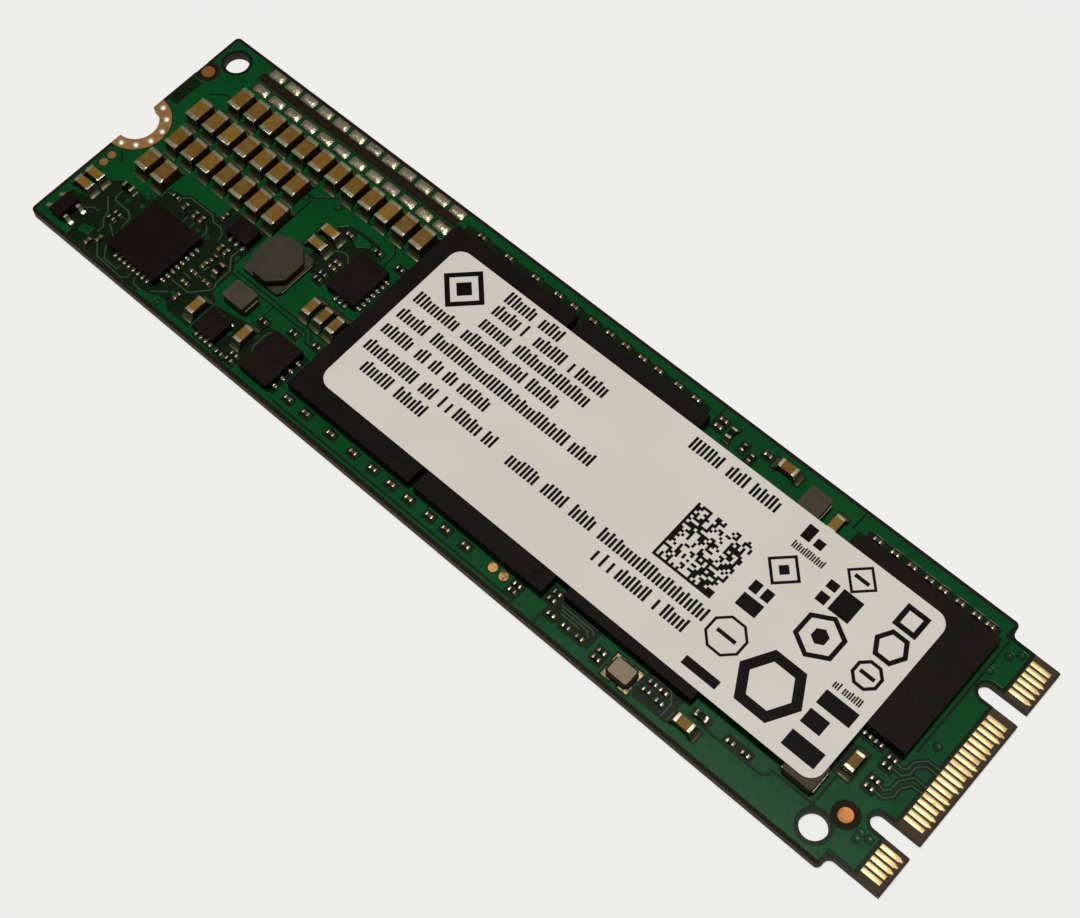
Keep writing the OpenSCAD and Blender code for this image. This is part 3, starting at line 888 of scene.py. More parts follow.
def thicken(piece: bpy.types.Object, height: float) -> bpy.types.Object:
    """Pulls flat faces up into closed blocks.

    Args:
        piece: The piece that holds the faces.
        height: How far they are pulled, in millimetres.

    Returns:
        The piece.
    """

    def work() -> None:
        """Pulls the faces up and turns all faces outwards."""
        bpy.ops.mesh.select_all(action="SELECT")
        bpy.ops.mesh.extrude_region_move(TRANSFORM_OT_translate={"value": (0, 0, height * MM)})
        bpy.ops.mesh.select_all(action="SELECT")
        bpy.ops.mesh.normals_make_consistent(inside=False)

    in_edit_mode(piece, work)
    return piece


def blocks(outlines: Iterable[Outline], low: float, high: float, name: str) -> bpy.types.Object:
    """One named piece of closed blocks on flat outlines, from a low to a high level."""
    return thicken(joined([flat_shape(outline, low) for outline in outlines], name), high - low)


def rectangle(x0: float, y0: float, x1: float, y1: float) -> Outline:
    """The outline of a rectangle between two corners."""
    return [(x0, y0), (x1, y0), (x1, y1), (x0, y1)]


def disc(x: float, y: float, radius: float, corners: int = ROUND, turn: float = 0.0) -> Outline:
    """The outline of a circle or of a regular polygon.

    Args:
        x: The centre's X.
        y: The centre's Y.
        radius: The distance from the centre to a corner.
        corners: How many corners it has.
        turn: How far the first corner is turned, in degrees.

    Returns:
        The outline.
    """
    step = 2 * math.pi / corners
    angles = [math.radians(turn) + i * step for i in range(corners)]
    return [(x + radius * math.cos(a), y + radius * math.sin(a)) for a in angles]


def apart(outlines: Sequence[Outline]) -> list[list[Outline]]:
    """Sorts outlines into groups in which no two overlap.

    Args:
        outlines: The outlines.

    Returns:
        The groups.
    """
    groups: list[list[tuple[Outline, tuple[float, ...]]]] = []
    for outline in outlines:
        xs, ys = [p[0] for p in outline], [p[1] for p in outline]
        box = (min(xs), min(ys), max(xs), max(ys))
        for group in groups:
            if all(box[0] > b[2] or b[0] > box[2] or box[1] > b[3] or b[1] > box[3] for _, b in group):
                group.append((outline, box))
                break
        else:
            groups.append([(outline, box)])
    return [[outline for outline, _ in group] for group in groups]


def ribbon(route: Outline, width: float) -> Outline:
    """The outline of a line of constant width along a route.

    Args:
        route: The points that the line passes.
        width: The line's width.

    Returns:
        The outline.
    """
    left, right = [], []
    for i, here in enumerate(route):
        before = Vector(route[max(i - 1, 0)])
        after = Vector(route[min(i + 1, len(route) - 1)])
        here = Vector(here)
        into = (here - before).normalized() if i > 0 else (after - here).normalized()
        out = (after - here).normalized() if i < len(route) - 1 else into
        across = Vector((-(into.y + out.y), into.x + out.x)).normalized()
        reach = width / 2 / max(across.dot(Vector((-into.y, into.x))), MITRE)
        left.append(tuple(here + across * reach))
        right.append(tuple(here - across * reach))
    return left + right[::-1]


def hand_over(piece: bpy.types.Object, finish: Finish, *nodes: str) -> None:
    """Dresses a finished piece, unless it has materials, and lets it ride.

    Args:
        piece: The piece.
        finish: Its finish.
        nodes: The CAD nodes that it stands for.
    """
    if not piece.data.materials:
        piece.data.materials.append(finish.material())
    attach(piece, BODY)
    if nodes:
        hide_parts(*nodes)
    log.info("%s: %d faces", piece.name, len(piece.data.polygons))


@dataclass(frozen=True)
class Rounded:
    """A CAD node whose edges are rounded and whose solids get tones.

    Attributes:
        node: The CAD node.
        finish: The finish.
        radius: The radius of the rounding, in millimetres.
        steps: How many faces the rounding has.
    """

    node: str
    finish: Finish
    radius: float = 0.02
    steps: int = 2

    def build(self) -> None:
        """Makes the rounded piece that stands for the node."""
        piece = copy_of(self.node, self.node + "_dressed")
        give_tones(piece, len(self.node))
        soften(piece, self.radius, self.steps)
        hand_over(piece, self.finish, self.node)


def alike(names: str, finish: Finish, radius: float, steps: int = 2) -> list[Rounded]:
    """The same finish and rounding for several CAD nodes, named with spaces between."""
    return [Rounded(name, finish, radius, steps) for name in names.split()]


@dataclass
class Assembly:
    """A group of CAD nodes that are rounded and dressed one by one."""

    parts: tuple[Rounded, ...] = ()

    def build(self) -> None:
        """Makes each part."""
        for part in self.parts:
            part.build()


class Face(Enum):
    """The two faces of the card."""

    TOP = 1
    UNDER = -1


@dataclass
class CircuitBoard:
    """The card: its laminate, and the copper pattern under the lacquer on both faces.

    Attributes:
        foil: The height of the pattern above the laminate, in millimetres.
        slope: The height of the pattern's outer rim.
        rim: The width of the sloping rim along each edge of a pour.
        margin: How far the pours stay from the card's outline.
        finger_gap: How far they stay from the contacts.
        strip: How far the bare strip reaches behind the contacts.
        gap: The width of the gap between two pours.
        line: The width of a trace.
        beside: The width of the gap on each side of a trace.
        via: The radius of a via's ring.
        via_corners: How many corners the ring has.
        via_steps: The widths of the ring's flat and of its wall, and the depth of its dish.
        clear: The width of the gap round a via or a pad of the underside.
        seat_gap: The gap between the pours and the screw seat.
        tooling: The centres of the tooling holes.
        tooling_radius: The radius that the pours leave round them.
        slots: The middle Y of each key slot.
        slot_depth: How far a slot's round end lies from the card's front edge.
        slot_half: Half the width that the pours leave round a slot.
        tongue: The length of the contact tongue.
        tongue_half: Half its width.
        under_vias: How many vias show on the underside.
        under_space: The least distance between them.
        under_area: The lowest X and Y and the highest X and Y that they may have.
        under_seed: The seed of their places.
        under_gaps: Routes that separate two pours of the underside.
        pad_gaps: The width of the gap round each solid of some nodes, and their names.
        dot_gaps: The same for round solids.
        windows: Areas of the chip side that have no pour.
        gaps: Routes that separate two pours of the chip side.
        traces: Routes of the lines of the chip side.
        islands: Small separate pours inside the windows.
        vias: Places of the vias that show on the chip side.
    """

    foil: float = 0.02
    slope: float = 0.008
    rim: float = 0.05
    margin: float = 0.28
    finger_gap: float = 0.3
    strip: float = 0.05
    gap: float = 0.14
    line: float = 0.11
    beside: float = 0.12
    via: float = 0.22
    via_corners: int = 12
    via_steps: tuple[float, float, float] = (0.08, 0.04, 0.012)
    clear: float = 0.1
    seat_gap: float = 0.08
    tooling: tuple[Point, Point] = ((-38.2, 9.1), (34.1, -9.1))
    tooling_radius: float = 1.28
    slots: tuple[float, float] = (-6.125, 5.625)
    slot_depth: float = 2.9
    slot_half: float = 0.85
    tongue: float = 4.3
    tongue_half: float = 9.65
    under_vias: int = 120
    under_space: float = 1.1
    under_area: tuple[float, float, float, float] = (-36, -9.6, 35, 9.6)
    under_seed: int = 7
    under_gaps: list[Outline] = field(default_factory=lambda: [
        [(-30, -10.8), (-30, -4), (-26, 0), (-26, 10.8)],
        [(-12, 10.8), (-12, 3), (-8, -1), (-8, -10.8)],
        [(14, -10.8), (14, 2), (20, 8), (20, 10.8)],
        [(27.5, -10.8), (27.5, -2), (31, 1.5), (31, 10.8)],
    ])
    pad_gaps: tuple[tuple[float, str], ...] = (
        (0.24, "tiny_chip_ends"),
        (0.1, "small_chip_solder mid_capacitor_solder power_manager_leads upper_regulator_leads"),
        (0.1, "lower_regulator_leads"),
        (0.12, "small_regulator_leads load_switch_leads moulded_choke_terminals oscillator_pads"),
        (0.06, "spare_capacitor_solder"),
    )
    dot_gaps: tuple[tuple[float, str], ...] = ((0.45, "fiducial_dots"), (0.06, "test_pads"))
    windows: list[Outline] = field(default_factory=lambda: [
        [(-37.3, -5.2), (-36.6, -4.5), (-34, -4.35), (-33.3, -3.5), (-33.3, -2.65), (-32.55, -2.65),
         (-31.55, -2.02), (-28.5, -2.02), (-28.5, -0.75), (-24.6, -0.75), (-24.6, -4.3), (-24.15, -4.75),
         (-24.15, -6.9), (-23.3, -7.4), (-23.3, -10.25), (-25.5, -10.25), (-26.2, -9.8), (-26.95, -9.8),
         (-27.4, -10.15), (-28.4, -10.3), (-28.6, -10.7), (-36.3, -10.7), (-36.3, -10.1), (-39, -10.1),
         (-39, -7.6), (-37.6, -7.4)],
        [(-21.1, -0.95), (-18.2, -0.95), (-18.2, 2.9), (-16.75, 3), (-17.1, 3.85), (-17.6, 4.2),
         (-19.6, 4.2), (-20.6, 3.95), (-21.1, 3.4)],
        [(-20.9, -7.2), (-23.2, -7.6), (-23.2, -10.1), (-14.6, -10.1), (-14.6, -6.3), (-18.1, -6.25),
         (-19.7, -6.1), (-19.4, -6.9), (-20.2, -7.1)],
        rectangle(-35.9, 9.1, -14.6, 9.85),
        rectangle(-13.9, 9.2, 9.9, 10.05),
        rectangle(24.2, 9.1, 35.3, 9.85),
        rectangle(11.3, -9.7, 15.3, -8),
        rectangle(19.5, -10.2, 22.5, -7.9),
        rectangle(34.7, -3.1, 35.7, -1.8),
        rectangle(34.7, -5, 35.7, -3.9),
        rectangle(32.4, -2.4, 34.4, -1.7),
        rectangle(32.4, -5.5, 34.1, -3.05),
        rectangle(26.2, -8.8, 28.3, -7.95),
        rectangle(-39.72, 3.1, -38.8, 5.9),
    ])
    gaps: list[Outline] = field(default_factory=lambda: [
        [(-37.6, 5.5), (-36.6, 6.3), (-36.1, 6.3)],
        [(-24.4, 3.7), (-24.4, -0.7)],
        [(-25.3, 3.9), (-24.4, 4), (-23.1, 5.15), (-14.8, 5.15)],
        [(-16.9, 5.2), (-16.2, 4.4), (-16.1, 3.1)],
        [(-24.2, -4.45), (-16.3, -4.45), (-15.6, -5.1), (-14.5, -5.1)],
        [(-24.2, -4.85), (-16.4, -4.85), (-15.8, -5.5), (-14.5, -5.5)],
        [(-19.75, -4.8), (-19.85, -6.2)],
        [(-38.7, -2.75), (-37.9, -3.5)],
        [(24, -8.75), (29.4, -8.75), (29.85, -8.3), (29.85, -8.05), (33.15, -8.05), (33.15, -5.5)],
        [(36.1, -0.8), (36.1, 9.6)],
        [(9.1, -8.9), (9.1, -10.6)],
        [(11.25, -8.2), (11.25, -10.6)],
        [(-14.2, -10.4), (9, -10.4)],
        [(23.2, 9.2), (23.2, 10.6)],
        [(10.6, 8.3), (10.6, 10.6)],
    ])
    traces: list[Outline] = field(default_factory=lambda: [
        [(-33.2, -3), (-32.1, -2.75), (-31.5, -2.2), (-29.1, -2.2), (-28.6, -2.6), (-27.8, -2.6),
         (-27.3, -2.95), (-27.1, -3.5)],
        [(-35.9, -5.3), (-35.9, -5.9), (-35.6, -6.2), (-34.2, -6.2), (-33.6, -6.6), (-33.5, -7.6)],
        [(-36.4, -6.3), (-35.4, -7.2), (-35.1, -7.9), (-34.6, -8.4), (-34.6, -9)],
        [(-34.4, -7.9), (-33.4, -8.5)],
        [(-34, -9), (-33.9, -9.6), (-33, -10.5), (-30.2, -10.6), (-29.9, -10.3), (-29.9, -9.9)],
        [(-33.2, -9.4), (-32.4, -10.3), (-31, -10.3), (-31, -9.9)],
        [(-29.4, -9.9), (-29.2, -10.3), (-28.3, -10.4)],
        [(-25.3, -3), (-25.3, -3.9), (-24.5, -4.8), (-24.5, -6.2), (-24.3, -6.6), (-24.4, -7),
         (-25.5, -8.2), (-27.2, -8.2)],
        [(-27.7, -10), (-26.6, -9.1)],
        [(-26.9, -6.65), (-25.6, -6.65)],
        [(-26.9, -7.2), (-26.2, -7.2)],
        [(-29.6, -3.6), (-29.6, -4.2)],
        [(-30.4, -3.6), (-30.4, -4.2)],
        [(-28.7, -3.2), (-28.3, -3.6), (-28.3, -4.3)],
        [(-37, -8.2), (-36.4, -7.7), (-35.9, -7.7)],
        [(-19.9, 1.6), (-19.2, 2), (-18.8, 2), (-18.3, 1.5)],
        [(-18.2, -6.45), (-18.5, -6.7), (-18.5, -8.2), (-18.2, -8.6)],
        [(-17.9, -9.6), (-17.2, -10), (-15.6, -10)],
        [(11.9, -8.2), (15, -8.2)],
        [(11.9, -8.45), (14.7, -8.45), (15, -8.7)],
        [(12.1, -8.7), (14.4, -8.7), (14.8, -9.05)],
        [(12.3, -8.95), (13.9, -8.95)],
        [(19.8, -8.2), (21.4, -8.2), (22, -8.9), (22, -10)],
        [(35.5, -2.25), (36.1, -2.35), (36.35, -2.05), (36.35, -1.5), (37, -0.8), (38, -0.8)],
        [(35.5, -2.75), (36.3, -2.75), (36.65, -2.3), (36.65, -1.7), (37.2, -1.15), (38, -1.2)],
        [(35.5, -4.15), (36, -4.3), (36.35, -3.9), (36.35, -3.2), (37, -2.3), (38, -2.3)],
        [(35.5, -4.7), (36.3, -4.75), (36.75, -4.2), (36.75, -3.5), (37.2, -2.85), (38, -2.8)],
    ])
    islands: list[Outline] = field(default_factory=lambda: [
        [(-19.6, 3.9), (-19.3, 3.1), (-18.8, 2.95), (-18, 3.6), (-18.2, 3.9)],
        [(-36, -9.2), (-35, -8.9), (-35, -9.7), (-35.9, -9.9)],
        [(-26.7, -5.3), (-26.5, -6.1), (-26, -6.1), (-25.9, -5.6)],
    ])
    vias: list[Point] = field(default_factory=lambda: [
        (36.3, 6.9), (36.9, 0.4), (36.7, 8.6), (37.3, 9.2), (36.6, -7.5), (37.3, -7.5), (36.65, -8),
        (-17.7, 3.7), (-16.9, 3.7), (-24.9, 3.65), (-33.6, -3.9), (-33.9, -4.4), (-33.7, -5.2),
        (-26.3, -8.9), (-25.8, -9), (-34.9, -5.6), (-35.3, -9.4), (-28.9, -3.9), (-27.9, -3.9),
        (-24.9, -3.65), (-26.6, -10.3), (-20.6, -8.6), (-18.9, -7.4), (-22.4, 4.6), (-38.4, -7.5),
    ])

    def build(self) -> None:
        """Makes the laminate, the pours, the traces and the vias."""
        self.laminate()
        lanes = [ribbon(route, self.line + 2 * self.beside) for route in self.traces]
        windows = self.windows + self.clearances() + lanes + self.via_windows(self.vias)
        self.pours("top_pours", Face.TOP, windows, self.gaps)
        top = self.level(Face.TOP)
        lines = [ribbon(route, self.line) for route in self.traces]
        hand_over(blocks(lines, top, top + self.foil, "signal_traces"), MASK_TRACE)
        self.via_rings("top_vias", Face.TOP, self.vias)
        self.underside()

    def level(self, side: Face) -> float:
        """The height of the laminate's face on one side of the card."""
        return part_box("circuit_board")[1].z / MM if side is Face.TOP else self.foil

    def laminate(self) -> None:
        """Makes the card itself, with its cut edges and its bare strip."""
        piece = copy_of("circuit_board", "laminate_card")
        for vertex in piece.data.vertices:
            if vertex.co.z < NEAR:
                vertex.co.z = self.foil * MM
        soften(piece, 0)
        for finish in (CARD_FACE, CARD_EDGE):
            piece.data.materials.append(finish.material())
        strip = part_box("edge_contacts_top")[0].x - self.strip * MM
        for face in piece.data.polygons:
            bare = abs(face.normal.z) < LEVEL or face.center.x > strip
            face.material_index = 1 if bare else 0
        hand_over(piece, CARD_FACE, "circuit_board")

    def clearances(self) -> list[Outline]:
        """The gaps round the pads of the parts on the chip side.

        Returns:
            One outline for each part or pad.
        """
        outlines = []
        for by, names in self.pad_gaps:
            for low, high in (box for name in names.split() for box in part_boxes(name)):
                outlines.append(rectangle(low.x - by, low.y - by, high.x + by, high.y + by))
        for by, name in self.dot_gaps:
            outlines += [disc(x, y, radius + by) for x, y, radius in round_parts(name)]
        return outlines

    def via_windows(self, places: list[Point]) -> list[Outline]:
        """The gaps round vias."""
        return [disc(x, y, self.via + self.clear, COARSE) for x, y in places]

    def card_cuts(self) -> list[Outline]:
        """The openings of the card, a little larger than they are.

        Returns:
            One outline or more for each opening.
        """
        low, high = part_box("circuit_board")
        back, front, side = low.x / MM, high.x / MM, high.y / MM
        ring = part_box("screw_seat")[1].x / MM - back
        cuts = [disc(back, 0, ring + self.seat_gap, FINE)]
        cuts += [disc(x, y, self.tooling_radius) for x, y in self.tooling]
        inner, half = front - self.slot_depth, self.slot_half
        for y in self.slots:
            cuts.append(disc(inner, y, half))
            cuts.append(rectangle(inner, y - half, front, y + half))
        shoulder = front - self.tongue
        cuts.append(rectangle(shoulder, self.tongue_half, front, side))
        cuts.append(rectangle(shoulder, -side, front, -self.tongue_half))
        return cuts

    def pours(self, name: str, side: Face, windows: list[Outline], gaps: list[Outline]) -> None:
        """Makes the copper pours of one face, under their lacquer.

        Args:
            name: The piece's name.
            side: Which face it is.
            windows: Areas that have no pour.
            gaps: Routes that separate pours.
        """
        low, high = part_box("circuit_board")
        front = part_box("edge_contacts_top")[0].x / MM - self.finger_gap
        sheet = rectangle(low.x / MM + self.margin, low.y / MM + self.margin,
                          front, high.y / MM - self.margin)
        outer = self.level(side) + side.value * self.slope
        bottom, top = sorted((self.level(side), outer))
        plate = blocks([sheet], bottom, top, name)
        cuts = windows + self.card_cuts() + [ribbon(route, self.gap) for route in gaps]
        for group in apart(cuts):
            cutter = blocks(group, bottom - THROUGH, bottom + THROUGH, "cutter")
            modify(plate, "BOOLEAN", operation="DIFFERENCE", object=cutter, solver="EXACT")
            bpy.data.objects.remove(cutter)
        if side is Face.TOP:
            joined([plate, blocks(self.islands, bottom, top, "islands")], name)
        self.slope_rims(plate, outer, side)
        hand_over(plate, MASK_COPPER)

    def slope_rims(self, plate: bpy.types.Object, level: float, side: Face) -> None:
        """Raises the middle of each pour and leaves a paler sloping rim.

        Args:
            plate: The pours.
            level: The height of their outer faces.
            side: Which face of the card they are on.
        """
        merged(plate, False)
        plate.data.materials.append(MASK_COPPER.material())
        plate.data.materials.append(MASK_RIM.material())

        def outer(face: bpy.types.MeshPolygon) -> bool:
            """Whether a face is one of the outer ones."""
            return face.normal.z * side.value > LEVEL and abs(face.center.z - level * MM) < NEAR

        select_faces(plate, outer)
        for face in plate.data.polygons:
            face.material_index = 1

        def work() -> None:
            """Insets the outer faces and gives them the pour's finish."""
            bpy.ops.mesh.quads_convert_to_tris(ngon_method="BEAUTY")
            bpy.ops.mesh.inset(thickness=self.rim * MM, depth=(self.foil - self.slope) * MM,
                               use_even_offset=False)
            plate.active_material_index = 0
            bpy.ops.object.material_slot_assign()

        in_edit_mode(plate, work)

    def via_rings(self, name: str, side: Face, places: list[Point]) -> None:
        """Makes small dished rings.

        Args:
            name: The piece's name.
            side: Which face of the card they are on.
            places: Their places.
        """
        bpy.ops.mesh.primitive_cylinder_add(vertices=self.via_corners, radius=self.via * MM,
                                            depth=self.foil * MM)
        ring = bpy.context.object
        select_faces(ring, lambda face: face.normal.z * side.value > LEVEL)
        flat, wall, dish = self.via_steps

        def work() -> None:
            """Sinks the middle of the ring."""
            bpy.ops.mesh.inset(thickness=flat * MM, depth=0)
            bpy.ops.mesh.inset(thickness=wall * MM, depth=-dish * MM)

        in_edit_mode(ring, work)
        middle = self.level(side) + side.value * self.foil / 2
        copies = []
        for x, y in places:
            copy = ring.copy()
            copy.data = ring.data.copy()
            copy.location = (x * MM, y * MM, middle * MM)
            bpy.context.scene.collection.objects.link(copy)
            copies.append(copy)
        bpy.data.objects.remove(ring)
        piece = settle(joined(copies, name))
        soften(piece, 0)
        hand_over(piece, MASK_RIM)

    def underside(self) -> None:
        """Makes the plain pattern of the face that has no parts."""
        pads = round_parts("underside_test_pads")
        x0, y0, x1, y1 = self.under_area
        dice = random.Random(self.under_seed)
        places: list[Point] = []
        while len(places) < self.under_vias:
            place = (round(dice.uniform(x0, x1), 1), round(dice.uniform(y0, y1), 1))
            near = places + [pad[:2] for pad in pads]
            room = all(math.dist(place, hole) > self.tooling_radius + self.clear + self.via
                       for hole in self.tooling)
            if room and all(math.dist(place, other) > self.under_space for other in near):
                places.append(place)
        windows = [disc(x, y, radius + self.clear) for x, y, radius in pads]
        self.pours("underside_pours", Face.UNDER, windows + self.via_windows(places), self.under_gaps)
        self.via_rings("underside_vias", Face.UNDER, places)


@dataclass
class MemoryPackages(Assembly):
    """The flash, controller and buffer packages with their bases and balls."""

    parts: tuple[Rounded, ...] = (
        *alike("flash_package_left flash_package_right controller_package", FLASH_MOULD, 0.05),
        Rounded("buffer_memory_package", BUFFER_MOULD, 0.05),
        *alike("flash_bases controller_base buffer_memory_base", BASE_LAMINATE, 0.01, 1),
        *alike("flash_solder_balls controller_solder_balls buffer_memory_solder_balls", SOLDER, 0),
    )


@dataclass
class LeadlessChips:
    """The power manager, regulators, switch and transistor."""

    names: tuple[str, ...] = ("power_manager", "upper_regulator", "lower_regulator", "small_regulator",
                              "load_switch", "transistor")

    def build(self) -> None:
        """Makes each chip's body and its leads."""
        for name in self.names:
            Rounded(name + "_body", CHIP_MOULD, 0.04).build()
            Rounded(name + "_leads", LEAD, 0).build()


@dataclass
class ChipRows(Assembly):
    """The capacitors and resistors, from the storage bank to the tiniest chips.

    Attributes:
        parts: The chips that are fitted, and their solder.
        grid: How many cells a bare pad's solder has along X and Y.
        fill: How much of the pad's height its solder fills.
        tilt: The most that it rises to one side, in millimetres.
        ripple: The most that a point of it stands out.
        waist: How much it is drawn in along X and Y at its corners.
        skin: The thickness of its closed shell.
        shade: The largest angle of an edge that is shaded smooth, in degrees.
        seeds: The seeds of its forms and of its tones.
    """

    parts: tuple[Rounded, ...] = (
        *alike("storage_capacitors_outer_row storage_capacitors_second_row", CERAMIC, 0),
        *alike("storage_capacitors_third_row storage_capacitors_inner_row", CERAMIC, 0),
        Rounded("storage_capacitor_ends", TIN, 0),
        Rounded("storage_capacitor_solder", FILLET, 0.02),
        Rounded("mid_capacitor_bodies", CERAMIC, 0),
        Rounded("mid_capacitor_ends", TIN, 0),
        Rounded("mid_capacitor_solder", FILLET, 0.015),
        Rounded("small_chip_bodies", RESISTOR, 0),
        Rounded("small_chip_ends", TIN, 0),
        Rounded("small_chip_solder", FILLET, 0.01, 1),
        Rounded("tiny_capacitor_bodies", TINY_CERAMIC, 0.015, 1),
        Rounded("tiny_resistor_bodies", RESISTOR, 0.015, 1),
        Rounded("tiny_chip_ends", TINY_TIN, 0.02),
        Rounded("tiny_chip_solder", FILLET, 0.01, 1),
    )
    grid: tuple[int, int] = (9, 7)
    fill: float = 0.86
    tilt: float = 0.035
    ripple: float = 0.004
    waist: tuple[float, float] = (0.08, 0.06)
    skin: float = 0.002
    shade: float = 50
    seeds: tuple[int, int] = (11, 5)

    def build(self) -> None:
        """Makes the chips and the solder of the row that isn't fitted."""
        super().build()
        self.spare_pads()

    def spare_pads(self) -> None:
        """Makes the uneven solder pillows on the bare pads."""
        dice = random.Random(self.seeds[0])
        columns, rows = self.grid
        pillows = []
        for low, high in part_boxes("spare_capacitor_solder"):
            bpy.ops.mesh.primitive_grid_add(x_subdivisions=columns, y_subdivisions=rows, size=2)
            pillow = bpy.context.object
            lean_x, lean_y = dice.uniform(-1, 1) * self.tilt, dice.uniform(-1, 1) * self.tilt
            middle, half = (low + high) / 2, (high - low) / 2
            crown = high.z - low.z
            for vertex in pillow.data.vertices:
                u, v = vertex.co.x, vertex.co.y
                dome = max(1 - abs(u) ** 4, 0) ** 0.5 * max(1 - v * v, 0) ** 0.5
                ripple = dice.uniform(-self.ripple, self.ripple)
                height = (crown * self.fill + lean_x * u + lean_y * v + ripple) * dome
                vertex.co = (
                    (middle.x + half.x * u * (1 - self.waist[0] * v * v)) * MM,
                    (middle.y + half.y * v * (1 - self.waist[1] * u * u)) * MM,
                    (low.z + min(max(height, 0), crown)) * MM,
                )
            pillows.append(pillow)
        piece = thicken(joined(pillows, "spare_pad_solder"), self.skin)
        give_tones(piece, self.seeds[1])
        hold(piece)
        bpy.ops.object.shade_smooth_by_angle(angle=math.radians(self.shade))
        hand_over(piece, SOLDER, "spare_capacitor_solder")


@dataclass
class PowerParts(Assembly):
    """The chokes and the oscillator."""

    parts: tuple[Rounded, ...] = (
        Rounded("drum_choke_core", FERRITE, 0.06, 3),
        Rounded("drum_choke_winding", WIRE, 0),
        Rounded("drum_choke_terminals", TIN, 0.015, 1),
        Rounded("moulded_choke_bodies", MOULDED_FERRITE, 0.06, 3),
        Rounded("moulded_choke_terminals", TIN, 0.015, 1),
        Rounded("oscillator_base", BASE_LAMINATE, 0.03),
        Rounded("oscillator_lid", LID, 0.04, 3),
        Rounded("oscillator_pads", CORNER, 0.01, 1),
    )


@dataclass
class BareMetal(Assembly):
    """The contacts, the screw seat, the sighting dots and the test pads."""

    parts: tuple[Rounded, ...] = (
        *alike("edge_contacts_top edge_contacts_bottom", GOLD, 0.012),
        Rounded("screw_seat", SEAT, 0.012, 1),
        Rounded("screw_seat_solder", CREAM, 0),
        Rounded("fiducial_dots", COPPER, 0.01, 1),
        Rounded("test_pads", PAD, 0.01, 1),
        Rounded("underside_test_pads", SEAT, 0.01, 1),
    )


